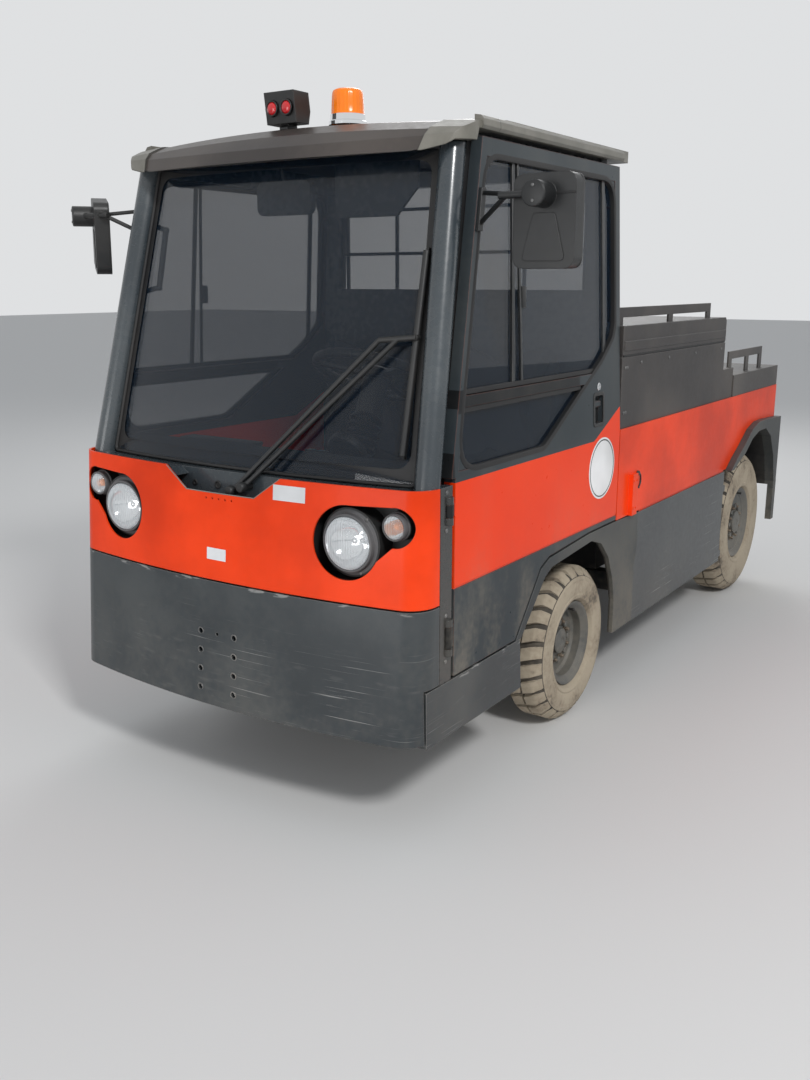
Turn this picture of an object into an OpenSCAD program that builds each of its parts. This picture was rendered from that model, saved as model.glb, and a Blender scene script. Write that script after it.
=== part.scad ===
// Electric airport baggage tug with a two-door cab, battery hood and cargo rails.
// Millimetres. +X is the vehicle's left, -Y is forward, Z is up from the ground.
// Every piece is drawn with Y measured from the front axle, then moved so that
// the middle of the vehicle's length is the origin.

/* [Body] */
// Width over the side panels
body_w = 1300; // [1240:5:1400]
// Front axle to rear axle
wheelbase = 1910; // [1860:5:2000]
// Front axle to the foot of the front panel
nose_reach = 1087; // [1070:1:1120]
// Rear axle to the tail face
tail_reach = 341; // [330:1:380]
// Radius of the bow of the nose in plan
nose_r = 3400; // [2800:50:5000]
// Radius of the nose's two upright corners
corner_r = 80; // [60:1:100]
// Lean of the nose, in degrees
nose_lean = 4.3; // [3:0.1:5]
// Lower edge of the bumper apron
apron_z = 285; // [260:1:300]
// Joint between apron and front panel
split_z = 655; // [640:1:665]
// Top of the front panel and of the cab's lower part
panel_z = 968; // [950:1:980]
// Thickness of the bumper apron
apron_t = 12; // [8:1:20]
// Thickness of sheet panels
sheet_t = 6; // [4:1:8]
// Gap between fixed panels
seam = 5; // [4:0.5:8]
// Clearance round moving panels
door_gap = 7; // [6:0.5:10]

/* [Cab] */
// Height of the belt line, above which the doors lean in
belt_z = 985; // [975:1:1000]
// Thickness of the doors
door_t = 35; // [30:1:40]
// Front edge of the doors, ahead of the front axle
door_front = 865; // [855:1:875]
// Rear edge of the doors, behind the front axle
door_rear = 236; // [225:1:240]
// Height of the top of the doors
door_top = 1848; // [1820:1:1852]
// Lean of the doors above the belt line, in degrees
tumble = 3; // [2:0.1:3.5]
// Radius of the windscreen pillars
pillar_r = 34; // [28:1:38]
// Foot of a windscreen pillar: sideways, and ahead of the front axle
pillar_foot_x = 608; // [600:1:609]
pillar_foot_y = 935; // [930:1:936]
// Head of a windscreen pillar: sideways, and ahead of the front axle
pillar_head_x = 549; // [545:1:560]
pillar_head_y = 731; // [725:1:740]
// Thickness of window glass
glass_t = 6; // [5:1:8]
// Height of the cab floor
floor_z = 440; // [430:1:460]
// Height of the seat box over the front wheels
seatbox_z = 690; // [680:1:700]
// How far the roof rises over the tops of the doors
roof_rise = 69; // [62:1:80]
// Reach of each mirror from the vehicle's middle
mirror_reach = 905; // [890:1:930]

/* [Wheels] */
// Radius of a front tyre
front_r = 270; // [262:1:274]
// Radius of a rear tyre
rear_r = 336; // [325:1:345]
// Width of a front tyre
front_w = 156; // [150:1:160]
// Width of a rear tyre
rear_w = 180; // [170:1:190]
// Outer face of the wheels from the vehicle's middle
wheel_out = 620; // [615:1:622]
// Kingpin from the vehicle's middle
kingpin_x = 396; // [390:1:400]
// Radius of the kingpins
kingpin_r = 16; // [14:1:18]
// Number of wheel bolts
bolts = 8; // [6:1:10]

/* [Load deck] */
// Top of the red side panels
side_z = 985; // [975:1:990]
// Rear end of the battery hood behind the front axle
hood_end = 1380; // [1360:1:1400]
// Seam between the fixed hood and its lid
lid_seam_z = 1238; // [1225:1:1245]
// Top of the hood lid
lid_z = 1336; // [1325:1:1350]
// Top of the step behind the hood
step_z = 1114; // [1110:1:1120]
// Rear end of that step
step_end = 1524; // [1510:1:1540]
// Top of the tail box
tail_z = 1080; // [1075:1:1090]
// Height of the tow coupling's pin middle
coupling_z = 400; // [380:1:430]
// Bore of the tow coupling
coupling_bore = 26; // [20:1:30]
// How far the tow coupling stands out behind the tail face
coupling_reach = 150; // [140:1:180]

/* [Hidden] */

fine = 96;
side_x = body_w / 2;
tail_y = wheelbase + tail_reach;
gutter_z = door_top + 16;
roof_z = door_top + roof_rise;
brow_z = door_top - 42;
mirror_z = door_top - 158;
pillar_head_z = door_top - 48;
front_y = -nose_reach - (split_z - apron_z) * tan(nose_lean);
middle_y = (front_y + tail_y + coupling_reach) / 2;
// The panels wrap round the nose to here, and the hinge strip follows
wrap_y = -939;
strip_end = -door_front - 10;
// Door hinges: axis, pin and barrels, and the heights of their round covers
hinge_y = -door_front - 27;
hinge_x = side_x - 4;
notch_back = -1005;
hinge_pin_r = 7;
hinge_r = 13;
hinge_cover = 20;
hinges = [[865, 940], [504, 607]];
run_fit = 0.05;
touch = 0.3;
// Rake of the windscreen pillars and lean of the doors' front edge
rake = atan((pillar_foot_y - pillar_head_y) / (pillar_head_z - panel_z));
door_foot_y = -pillar_foot_y + pillar_r + 18;
// Rear wall of the cab stands inside the doors
wall_t = 48;
wall_y = door_rear - wall_t - 2;
// Frame rails: outer side, top, and their raised part over the rear axle
rail_x = 250;
rail_top = 420;
rear_rail_z = 430;
kick_y = wheelbase - 440;
tail_face_z = 640;
// Skirts and arches
skirt_top = 430;
skirt_z = 270;
skirt_front = -1000;
slab_end = wheelbase - 420;
guard_proud = 30;
arch_top_z = 632;
panel_start = door_rear + door_gap;
hood_x = side_x - sheet_t - touch;
lid_hinges = [-420, 0, 420];
lid_hinge_r = 6;
lid_hinge_y = lid_hinge_r + 1.5;
// Tyre rims
front_rim_r = 142;
rear_rim_r = 165;
hub_r = 62;
spindle_r = 24;
axle_r = 30;
// Steering wheel: middle, and lean of its column from upright
steer_mid = [200, -583, 1196];
column_lean = 25;

// Moves a piece from front-axle coordinates to the vehicle's own frame.
module place() {
  translate([0, -middle_y, 0]) children();
}

// Both sides of the vehicle.
module both() {
  for (m = [0, 1]) mirror([m, 0, 0]) children();
}

// Tips a piece back with the nose, about the foot of the front panel.
module lean() {
  translate([0, -nose_reach, split_z]) rotate([-nose_lean, 0, 0]) children();
}

// Plate that stands upright along the vehicle, from a shape drawn in Y and Z.
module upright(x, t) {
  translate([x, 0, 0]) rotate([90, 0, 90]) linear_extrude(t) children();
}

// Box between two corners.
module block(a, b) {
  translate(a) cube(b - a);
}

// Round bar between two points.
module bar(a, b, r) {
  d = b - a;
  translate(a) rotate([0, acos(d.z / norm(d)), atan2(d.y, d.x)]) rotate(37)
    cylinder(h = norm(d), r = r, $fn = 32);
}

// Corner points of a rounded rectangle about its middle.
function rounded(w, h, r, n = 6) = [
  for (q = [0 : 3], i = [0 : n]) let(a = q * 90 + i * 90 / n, sx = q == 0 || q == 3 ? 1 : -1, sy = q < 2 ? 1 : -1)
    [sx * (w / 2 - r) + r * cos(a), sy * (h / 2 - r) + r * sin(a)]];

// Plan of the nose, bowed with round corners, drawn inward by a distance.
module nose_plan(inset = 0) {
  cx = side_x - corner_r;
  cy = nose_r - sqrt(pow(nose_r - corner_r, 2) - cx * cx);
  touch_x = (nose_r - inset) * cx / (nose_r - corner_r);
  intersection() {
    translate([0, nose_r]) circle(r = nose_r - inset, $fn = 720);
    translate([-touch_x, -1]) square([2 * touch_x, cy + 1.5]);
  }
  for (s = [-1, 1]) translate([s * cx, cy]) circle(r = corner_r - inset, $fn = fine);
  translate([-side_x + inset, cy]) square([2 * (side_x - inset), 400]);
}

// Leaning solid of the nose, tall enough to be cut to any band.
module nose_solid(inset = 0) {
  lean() translate([0, 0, -700]) linear_extrude(1400) nose_plan(inset);
}

// Band of the nose between two heights, back to the wrap edge.
module nose_band(z0, z1, inset = 0) {
  intersection() {
    nose_solid(inset);
    block([-side_x - 1, -1400, z0], [side_x + 1, wrap_y, z1]);
  }
}

// Chassis

// Rails, cross members, outriggers and rear plate, each a bar of its own.
module chassis_frame() {
  kick = kick_y;
  rail_h = 120;
  inner = rail_x - 50 - touch;
  outer = rail_x + touch;
  plate_y = tail_y - 12;
  plate_x = wheel_out - rear_w - 15;
  color("#26292b") {
    // Two rails, stepped up over the rear axle and cut to the bow of the bumper
    intersection() {
      both() upright(rail_x - 50, 50) polygon([
        [-1110, rail_top - rail_h], [kick + 30, rail_top - rail_h], [kick + 170, rear_rail_z],
        [plate_y - touch, rear_rail_z], [plate_y - touch, rear_rail_z + rail_h],
        [kick + 140, rear_rail_z + rail_h], [kick, rail_top], [-1110, rail_top]]);
      union() {
        nose_solid(apron_t + touch);
        block([-rail_x - 1, -650, 0], [rail_x + 1, tail_y, 1000]);
      }
    }
    // Cross members between the rails
    for (y = [-1000, -420, 420, kick - 170])
      block([-inner, y, rail_top - 110], [inner, y + 60, rail_top - 10]);
    block([-inner, plate_y - 62, rear_rail_z + 10], [inner, plate_y - touch, rear_rail_z + 110]);
    // Outriggers that carry the skirts and side slabs
    for (y = [-760, 480, kick - 170])
      both() block([outer, y, 330], [side_x - 30 - touch, y + 60, 400]);
    // Rear plate that the coupling is bolted to, wider above the wheels
    upright_plate(plate_y, 12) polygon([
      [-plate_x, 270], [plate_x, 270], [plate_x, 600], [560, 600], [560, tail_face_z],
      [-560, tail_face_z], [-560, 600], [-plate_x, 600]]);
  }
}

// Plate across the vehicle from an outline seen from behind.
module upright_plate(y, t) {
  translate([0, y + t, 0]) rotate([90, 0, 0]) linear_extrude(t) children();
}

// Steered front axle with its fork ears and kingpins, and the driven rear axle.
module axles() {
  front_axle();
  rear_axle();
}

module front_axle() {
  color("#2b2d2e") {
    block([-345, -42, 232], [345, 42, 296]);
    both() {
      // Fork ears above and below the knuckle, with the kingpin
      block([330, -34, 330], [kingpin_x + 34, 34, 352]);
      block([330, -34, 188], [kingpin_x + 34, 34, 210]);
      block([318, -34, 188], [346, 34, 352]);
      translate([kingpin_x, 0, 180]) cylinder(h = 184, r = kingpin_r, $fn = 48);
      block([208, -42, 290], [248, 42, rail_top - 120 - touch]);
    }
  }
}

module rear_axle() {
  color("#2b2d2e") {
    translate([-wheel_out + rear_w + 20, wheelbase, rear_r]) rotate([0, 90, 0])
      cylinder(h = 2 * (wheel_out - rear_w - 20), r = 62, $fn = 64);
    // Drive motor and reduction housing
    translate([0, wheelbase, rear_r]) rotate([90, 0, 0])
      cylinder(h = 300, r = 118, center = true, $fn = 64);
    both() {
      translate([wheel_out - rear_w - 22, wheelbase, rear_r]) rotate([0, 90, 0])
        cylinder(h = 130, r = axle_r, $fn = 48);
      block([200, wheelbase - 45, rear_r + 30], [250, wheelbase + 45, rear_rail_z - touch]);
    }
  }
}

module knuckle() {
  color("#3a3c3d") difference() {
    union() {
      translate([kingpin_x, 0, 212]) cylinder(h = 116, r = 32, $fn = 48);
      translate([kingpin_x, 0, front_r]) rotate([0, 90, 0])
        cylinder(h = wheel_out - front_w / 2 - 10 - kingpin_x, r = spindle_r, $fn = 48);
      // Steering arm
      block([kingpin_x - 8, 10, 226], [kingpin_x + 20, 120, 246]);
    }
    translate([kingpin_x, 0, 200]) cylinder(h = 140, r = kingpin_r + run_fit, $fn = 48);
  }
}

// Tyre about the X axis at the origin: half section turned round, outer face at x = 0.
module tyre(r, w, bead) {
  rotate([0, 90, 0]) rotate_extrude($fn = 72)
    polygon([
      [bead, -w + 26], [bead + 8, -w + 26], [bead + 24, -w], [r - 40, -w], [r, -w + 34],
      [r, -34], [r - 40, 0], [bead + 24, 0], [bead + 8, -26], [bead, -26]]);
}

// Disc wheel about the X axis: barrel, rolled lip and a dished disc with bolts.
module rim(r, w, dish, open_r, stub_r) {
  difference() {
    union() {
      rotate([0, 90, 0]) rotate_extrude($fn = 72)
        polygon([
          [r - 34, -w + 22], [r + 2, -w + 22], [r + 2, -w + 25.7], [r - 4, -w + 25.7],
          [r - 4, -25.7], [r + 2, -25.7], [r + 2, -22], [r - 10, -22],
          [r - 24, -34], [r - 24, -dish + 8], [r - 34, -dish - 4]]);
      translate([-dish - 14, 0, 0]) rotate([0, 90, 0]) cylinder(h = 14, r = r - 26, $fn = 72);
      translate([-dish - 50, 0, 0]) rotate([0, 90, 0]) cylinder(h = 38, r = hub_r, $fn = 64);
      translate([-dish, 0, 0]) rotate([0, 90, 0]) cylinder(h = 16, r = open_r, $fn = 48);
      for (i = [0 : bolts - 1]) rotate([i * 360 / bolts, 0, 0])
        translate([-dish, 0, open_r + 26]) rotate([0, 90, 0])
          cylinder(h = 12, r = 11, $fn = 6);
    }
    translate([-dish - 60, 0, 0]) rotate([0, 90, 0])
      cylinder(h = 52, r = stub_r, $fn = 48);
  }
}

// Nose

module front_bumper() {
  color("#3f464a") difference() {
    nose_band(apron_z, split_z - seam / 2);
    nose_solid(apron_t);
    // Lower rear corners make room for the skirts
    block([-side_x - 2, skirt_front - seam, 0], [side_x + 2, 0, skirt_top + seam]);
    // Rows of bolt holes either side of the middle
    for (z = [332, 388, 444, 500], s = [-1, 1])
      translate([s * 64, -1000, z]) rotate([90, 0, 0]) cylinder(h = 300, r = 8, $fn = 32);
    translate([0, -1000, 500]) rotate([90, 0, 0]) cylinder(h = 300, r = 5, $fn = 32);
  }
}

// Cutter for a lamp recess: large round, small round and the web between them.
// The web stops just inside both rounds, so that it crosses them cleanly.
module lamp_recess(depth) {
  big = 100;
  small = 53;
  bite = 0.6;
  c = [140, 52];
  a = atan2(c.y, c.x) + acos((big - small) / norm(c));
  cylinder(h = depth, r = big, $fn = fine);
  translate(c) cylinder(h = depth, r = small, $fn = fine);
  linear_extrude(depth) polygon([
    [20, 0], (big - bite) * [cos(a), sin(a)], c + (small - bite) * [cos(a), sin(a)],
    c + [5, 0], c + (small - bite) * [cos(-95), sin(-95)],
    (big - bite) * [cos(-25), sin(-25)]]);
}

module lamp_place() {
  both() translate([425, 0, 818]) rotate([90, 0, 0]) children();
}

module notch_outline(grow = 0) {
  polygon([
    [-215 - grow, panel_z + 20], [-215 - grow, panel_z], [-128 - grow, 905 - grow],
    [128 + grow, 905 - grow], [215 + grow, panel_z], [215 + grow, panel_z + 20]]);
}

module front_panel() {
  color("#f04a1c") difference() {
    nose_band(split_z + seam / 2, panel_z);
    nose_solid(sheet_t);
    lamp_place() translate([0, 0, 800]) lamp_recess(400);
    translate([0, -900, 0]) rotate([90, 0, 0]) linear_extrude(300) notch_outline();
    // Row of small holes under the notch
    for (i = [-2 : 2]) translate([i * 24, -1000, 890]) rotate([90, 0, 0])
      cylinder(h = 200, r = 3, $fn = 24);
  }
}

// Dark buckets behind the lamp recesses, each with two round lamp cups.
module headlamp_housings() {
  back = 956;
  color("#1d1f20") {
    intersection() {
      nose_solid(sheet_t + touch);
      both() difference() {
        block([312, -1100, 706], [side_x - sheet_t, -back, 935]);
        block([318, -1101, 712], [side_x - sheet_t - 6, -back - 8, 929]);
      }
    }
    both() {
      translate([425, -back - 1, 815]) rotate([90, 0, 0]) difference() {
        cylinder(h = 66, r = 94, $fn = fine);
        translate([0, 0, 20]) cylinder(h = 60, r = 72.8, $fn = fine);
      }
      translate([559, -back - 1, 870]) rotate([90, 0, 0]) difference() {
        cylinder(h = 42, r = 40, $fn = fine);
        translate([0, 0, 20]) cylinder(h = 60, r = 31.2, $fn = fine);
      }
    }
  }
}

// Lens with a domed front: a disc and the cap of a large sphere.
module lens(r, depth, crown) {
  big = (r * r + crown * crown) / (2 * crown);
  cylinder(h = depth, r = r, $fn = fine);
  translate([0, 0, depth]) intersection() {
    cylinder(h = crown + 1, r = r, $fn = fine);
    translate([0, 0, crown - big]) sphere(r = big, $fn = 128);
  }
}

// Headlamp glasses and the small round indicators beside them.
module front_lenses() {
  color("#dfe4e6") both() {
    translate([425, -977 - touch, 815]) rotate([90, 0, 0]) lens(72.5, 60, 16);
    translate([559, -977 - touch, 870]) rotate([90, 0, 0]) lens(31, 40, 10);
  }
}

// Two parallel arms from the well in the notch, joined to one upright blade.
module wiper() {
  off = 30;
  feet = [[20, 912], [62, 926]];
  tips = [[425, 1333], [482, 1340]];
  color("#151617") {
    for (i = [0, 1]) {
      foot = [feet[i].x, notch_back - 26, feet[i].y];
      bar(foot, glass_point(tips[i], off), 7);
      bar([foot.x, notch_back - touch, foot.z], foot - [0, 12, 0], 12);
    }
    bar(glass_point(tips[0], off), glass_point([530, 1342], off), 8);
    bar(glass_point([528, 1040], 16), glass_point([519, 1560], 16), 9);
    bar(glass_point([526, 1342], 14), glass_point([526, 1342], off), 8);
  }
}

// Point on the windscreen from its side and height, stood off by a distance.
function glass_point(p, off) =
  [p.x, -pillar_foot_y - 38 + (p.y - panel_z) * tan(rake) + p.x * p.x / (2 * nose_r) - off, p.y];

// Cab

module windscreen() {
  edge_foot = pillar_foot_x - pillar_r - touch;
  edge_head = pillar_head_x - pillar_r - touch;
  foot_z = panel_z - 10 + touch;
  color("#5d7480") intersection() {
    translate([0, -pillar_foot_y - 38, panel_z]) rotate([-rake, 0, 0])
      translate([0, 0, -100]) linear_extrude(1200) difference() {
        nose_plan(0);
        nose_plan(glass_t);
      }
    // Outline seen from the front, clear of the pillars
    translate([0, -400, 0]) rotate([90, 0, 0]) linear_extrude(900)
      polygon([
        [-edge_foot, foot_z], [edge_foot, foot_z],
        [edge_head, gutter_z - 35], [-edge_head, gutter_z - 35]]);
    block([-620, -1400, 0], [620, -600, 2000]);
  }
}

module cab_frame() {
  wall_low = side_x - door_t - 9;
  lean_in = (gutter_z - belt_z) * tan(tumble);
  color("#30373b") {
    // Rear wall with its window
    difference() {
      translate([0, wall_y + wall_t, 0]) rotate([90, 0, 0]) linear_extrude(wall_t) polygon([
        [-wall_low, 660], [wall_low, 660], [wall_low, belt_z], [wall_low - lean_in, gutter_z],
        [-wall_low + lean_in, gutter_z], [-wall_low, belt_z]]);
      translate([0, wall_y + 100, 0]) rotate([90, 0, 0]) linear_extrude(200) rear_opening();
    }
    both() {
      // Windscreen pillar, from the scuttle to just below the roof's brow
      intersection() {
        bar([pillar_foot_x + 6, -pillar_foot_y - 20, panel_z - 82],
            [pillar_head_x - 1, -pillar_head_y + 6, gutter_z - 20], pillar_r);
        block([400, -1100, panel_z - 18], [700, -500, gutter_z - 35]);
      }
      // Roof rail over the door
      block([516, -700, gutter_z - 64], [wall_low - lean_in - 4, wall_y + 1, gutter_z]);
      hinge_strip();
    }
    // Header over the windscreen
    block([-555, -700, brow_z], [555, -660, gutter_z]);
    // Sun visor and inside mirror hung from the header
    upright_plate(-664, 10) polygon([
      [118, gutter_z - 205], [330, gutter_z - 205], [400, gutter_z - 130], [400, brow_z + 4], [118, brow_z + 4]]);
    upright_plate(-664, 24) translate([-75, gutter_z - 142]) polygon(rounded(205, 96, 22));
    bar([-75, -652, gutter_z - 110], [-75, -670, brow_z + 6], 6);
    // Grab handle on the right-hand pillar
    for (i = [0 : 2]) bar(grab[i], grab[i + 1], i == 1 ? 9 : 8);
    for (i = [1, 2]) translate(grab[i]) sphere(r = 10.5, $fn = 32);
    // Guard bars behind the rear window
    for (x = [-500, -270, 270, 500])
      block([x - 6, wall_y + 36, rear_open[0] - 12], [x + 6, wall_y + 45, rear_open[1] + 12]);
    for (z = [rear_open[0] + 130, rear_open[0] + 288])
      block([-528, wall_y + 34, z - 6], [528, wall_y + 43, z + 6]);
    // Scuttle: ledge behind the front panel, with a well under the notch
    difference() {
      intersection() {
        nose_solid(sheet_t + touch);
        block([-side_x, -1100, panel_z - 30], [side_x, -880, panel_z - 10]);
      }
      translate([0, notch_back, 0]) rotate([90, 0, 0]) linear_extrude(300) notch_outline(2);
    }
    block([-232, notch_back, 880], [232, notch_back + 10, panel_z - 20]);
    intersection() {
      nose_solid(sheet_t + touch);
      block([-232, -1100, 880], [232, notch_back + 1, 890]);
    }
    // Bulkhead behind the nose
    block([-630, -900, skirt_top + touch], [630, -880, panel_z - 20]);
  }
}

// Lower and upper edge of the rear window's opening, and the grab handle's bends.
rear_open = [door_top - 393, door_top - 33];
grab = [
  [-554, -736, gutter_z - 206], [-490, -742, gutter_z - 226],
  [-504, -770, gutter_z - 400], [-566, -800, gutter_z - 416]];

module rear_opening(inset = 0) {
  low = rear_open[0] + inset;
  high = rear_open[1] - inset;
  polygon([[-520 + inset, low], [520 - inset, low], [506 - inset, high], [-506 + inset, high]]);
}

// Upright strip between nose and door with two pinned hinges.
module hinge_strip() {
  difference() {
    block([side_x - 26, wrap_y + seam, skirt_top + touch], [side_x - 2, strip_end, panel_z]);
    for (z = hinges)
      block([hinge_x - hinge_r - 3, hinge_y - hinge_r - 3, z[0] + hinge_cover],
            [side_x, strip_end + 1, z[1] - hinge_cover]);
  }
  for (z = hinges) {
    translate([hinge_x, hinge_y, z[0]]) cylinder(h = z[1] - z[0], r = hinge_pin_r, $fn = 48);
    for (z0 = [z[0], z[1] - hinge_cover]) translate([hinge_x, hinge_y, z0])
      cylinder(h = hinge_cover, r = hinge_r + 1, $fn = 48);
  }
}

module cab_floor() {
  front = -880 + touch;
  color("#2a2c2d") {
    block([-600, front, rail_top + touch], [600, -438, floor_z]);
    // Riser in front of the seat box, its top and its side cheeks
    block([-600, -450, floor_z - 1], [600, -438, seatbox_z]);
    block([-606, -439, seatbox_z - 14], [606, wall_y - touch, seatbox_z]);
    both() block([594, -439, 636], [606, wall_y - touch, seatbox_z - 13]);
    // Pedals
    for (x = [150, 300]) {
      block([x, -840, floor_z + 90], [x + 70, -822, floor_z + 190]);
      block([x + 28, front, floor_z + 130], [x + 42, -838, floor_z + 146]);
    }
  }
}

module dashboard() {
  color("#2f3335") {
    upright(-585, 1170) polygon([
      [-880 + touch, 760], [-880 + touch, 925], [-800, 1000], [-700, 975], [-660, 930], [-660, 800], [-700, 760]]);
    // Steering column
    translate(steer_mid) rotate([-column_lean, 0, 0]) translate([0, 0, -touch - 290])
      cylinder(h = 290, r = 38, $fn = 48);
  }
}

module steering_wheel() {
  color("#1b1c1d") translate(steer_mid) rotate([-column_lean, 0, 0]) {
    translate([0, 0, 12]) rotate_extrude($fn = 72) translate([186, 0]) circle(r = 14, $fn = 24);
    cylinder(h = 26, r = 48, $fn = 48);
    for (a = [90, 210, 330]) rotate([0, 0, a]) translate([30, -14, 6]) cube([148, 28, 10]);
  }
}

// Seats, as side of the vehicle they stand on
seat_x = [260, -290];
seat_back_y = 36;
seat_lean = 12;

module seat_bases() {
  color("#3a3d3f") for (x = seat_x) {
    block([x - 190, -370, seatbox_z + touch], [x + 190, 60, seatbox_z + 70]);
    translate([x - 190, seat_back_y, seatbox_z + 66]) rotate([-seat_lean, 0, 0]) cube([380, 22, 480]);
  }
}

module seat_cushions() {
  color("#202224") for (x = seat_x)
    block([x - 215, seat_back_y - 460, seatbox_z + 70 + touch], [x + 215, seat_back_y - 72, seatbox_z + 160]);
}

module seat_backs() {
  color("#202224") for (x = seat_x)
    translate([x - 205, seat_back_y, seatbox_z + 66]) rotate([-seat_lean, 0, 0])
      translate([0, -70, 60]) cube([410, 70 - touch, 480]);
}

// Roof form, grown on the outside for what is moulded onto it.
module roof_form(grow = 0) {
  half = 606 + grow;
  crown = 17;
  steps = 12;
  top = roof_z + grow;
  low = brow_z - 106;
  round = 90;
  // Front cuts: place, height over the brow's edge, lean and how flat the bow is
  cuts = [[-848, 0, 22, 1], [-834, 34, 46, 1.4], [-798, 68, 68, 1.8], [-726, 96, 82, 2]];
  crown_line = [for (i = [0 : steps]) let(x = half - 2 * half * i / steps)
    [x, top - crown * pow(x / half, 2)]];
  // Side view: brow over the windscreen and flat top
  intersection() {
    upright(-half, 2 * half) polygon([
      [-870, brow_z], [-812, brow_z], [-780, gutter_z - 33], [-712, gutter_z - 30], [-701, gutter_z + touch],
      [300, gutter_z + touch], [300, top + 30], [-870, top + 30]]);
    // Crown seen from the front
    translate([0, 500, 0]) rotate([90, 0, 0]) linear_extrude(1600)
      polygon(concat([[-half, brow_z - 60], [half, brow_z - 60]], crown_line));
    // Bowed front, as cuts that lean back more and more
    intersection_for(cut = cuts) {
      bow = nose_r * cut[3];
      translate([0, cut[0], brow_z + cut[1]]) rotate([-cut[2], 0, 0]) translate([0, bow - grow, -900])
        cylinder(h = 2200, r = bow, $fn = 360);
    }
    // Rounded corners seen from above
    translate([0, 0, low]) linear_extrude(top + 100 - low) {
      translate([-half, -720]) square([2 * half, 1020]);
      translate([-half + round, -900]) square([2 * half - 2 * round, 200]);
      for (x = [-1, 1]) translate([x * (half - round), -720]) circle(r = round - 0.01, $fn = 64);
    }
  }
}

// Roof with a moulded cap over each pillar head and a gutter along each side.
module roof() {
  color("#4a4644") {
    roof_form();
    both() {
      intersection() {
        roof_form(5);
        translate([0, -400, 0]) rotate([90, 0, 0]) linear_extrude(600)
          polygon([[470, brow_z - 106], [700, brow_z - 106], [700, roof_z + 83], [540, roof_z + 83]]);
        translate([0, 0, brow_z - 106]) linear_extrude(roof_z - brow_z + 200)
          polygon([[400, -950], [700, -950], [700, -600], [560, -600]]);
      }
      translate([0, wall_y + wall_t + 12, 0]) rotate([90, 0, 0]) linear_extrude(wall_y + wall_t + 12 + 690)
        polygon([
          [590, gutter_z + touch], [612, gutter_z + touch], [618, gutter_z + 8],
          [617, gutter_z + 24], [609, gutter_z + 33], [590, gutter_z + 36]]);
    }
  }
}

module rear_window() {
  color("#5d7480") translate([0, wall_y + 28, 0]) rotate([90, 0, 0]) linear_extrude(glass_t)
    rear_opening(0.2);
}

// Orange warning light on a round base.
module beacon() {
  color("#f08a10") translate([115, -595, roof_z + touch]) {
    cylinder(h = 10, r = 55, $fn = 64);
    cylinder(h = 29, r = 51, $fn = 64);
    translate([0, 0, 28]) cylinder(h = 62, r1 = 48, r2 = 44, $fn = 64);
    translate([0, 0, 90]) cylinder(h = 8, r1 = 44, r2 = 36, $fn = 64);
  }
}

// Pair of small round lamps in a hooded housing on a sloping foot.
module twin_lamp() {
  mid = [-25, -690];
  foot = roof_z - 43;
  color("#222426") {
    difference() {
      upright(mid.x - 14, 28) polygon([
        [mid.y - 25, foot - 9], [mid.y + 20, foot - 9], [mid.y + 20, foot + 44], [mid.y + 6, foot + 56],
        [mid.y - 6, foot + 56], [mid.y - 25, foot + 36]]);
      roof_form(touch);
    }
    difference() {
      upright(mid.x - 54, 108) polygon([
        [mid.y - 32, foot + 45], [mid.y + 24, foot + 45], [mid.y + 32, foot + 80],
        [mid.y + 24, foot + 130], [mid.y - 44, foot + 130]]);
      for (x = [-26, 26]) translate([mid.x + x, mid.y - 22, foot + 86]) rotate([90, 0, 0])
        cylinder(h = 60, r = 22, $fn = 48);
    }
    for (x = [-26, 26]) translate([mid.x + x, mid.y - 21, foot + 86]) rotate([90, 0, 0])
      cylinder(h = 8, r = 18, $fn = 48);
  }
}

// Sides

// Steel step below each door, and the thick steel slab between the wheels.
module side_skirts() {
  color("#3f464a") both() {
    upright(side_x - 30, 30) polygon([
      [skirt_front, skirt_z], [-460, skirt_z], [-474, skirt_top], [skirt_front, skirt_top]]);
    upright(side_x - 30, 28) polygon([
      [454, 655], [slab_end, 655], [slab_end, 240], [440, 240], [436, 450], [459, 520]]);
    // Two brackets on the slab's rear end, the upper with a knob
    for (z = [575, 272]) block([side_x - 26, slab_end - 1, z - 14], [side_x - 3, slab_end + 26, z + 14]);
    translate([side_x - 15, slab_end + 14, 548]) cylinder(h = 14, r = 8, $fn = 32);
  }
}

// Front wheel arch line, swept through named corners and a round rear shoulder.
module front_arch_outline(grow = 0) {
  polygon([
    [-465 - grow, 200], [-467 - grow, skirt_top], [-315 - grow * 0.6, 586 + grow * 0.8],
    [-267 - grow * 0.4, 610 + grow], [37, arch_top_z + grow], [120, 606 + grow],
    [190, 540 + grow * 0.8], [235 + grow * 0.6, 450 + grow * 0.5], [256 + grow, 370], [256 + grow, 200]]);
}

module front_mudguards() {
  color("#454c50") both() {
    upright(side_x - 20, 20) difference() {
      polygon([
        [-500, skirt_top + touch], [-340, 620], [-285, 642], [20, 661], [panel_start - 2, 661],
        [450, 656], [455, 520], [432, 450], [436, 243], [256, 243], [0, 243], [-455, 243], [-455, skirt_top + touch]]);
      front_arch_outline();
    }
    // Inner flange over the wheel, held against the seat box
    upright(side_x - 44 + touch, 26) polygon([
      [-260, 614], [-260, 641], [20, 659], [176, 659], [176, 606], [120, 612], [37, 636]]);
  }
}

module side_panels() {
  color("#f04a1c") both() {
    upright(side_x - sheet_t, sheet_t) difference() {
      polygon([[panel_start, 664], [tail_y, 664], [tail_y, side_z], [panel_start, side_z]]);
      rear_arch_outline();
    }
    // Turned-in lower edge that rests on the slab
    block([side_x - 18, 470, 655 + touch], [side_x - sheet_t + 1, slab_end - 10, 672]);
    // Box of the hood's catch
    block([side_x - 2, 342, 664], [side_x + 18, 387, 814]);
  }
}

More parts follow.
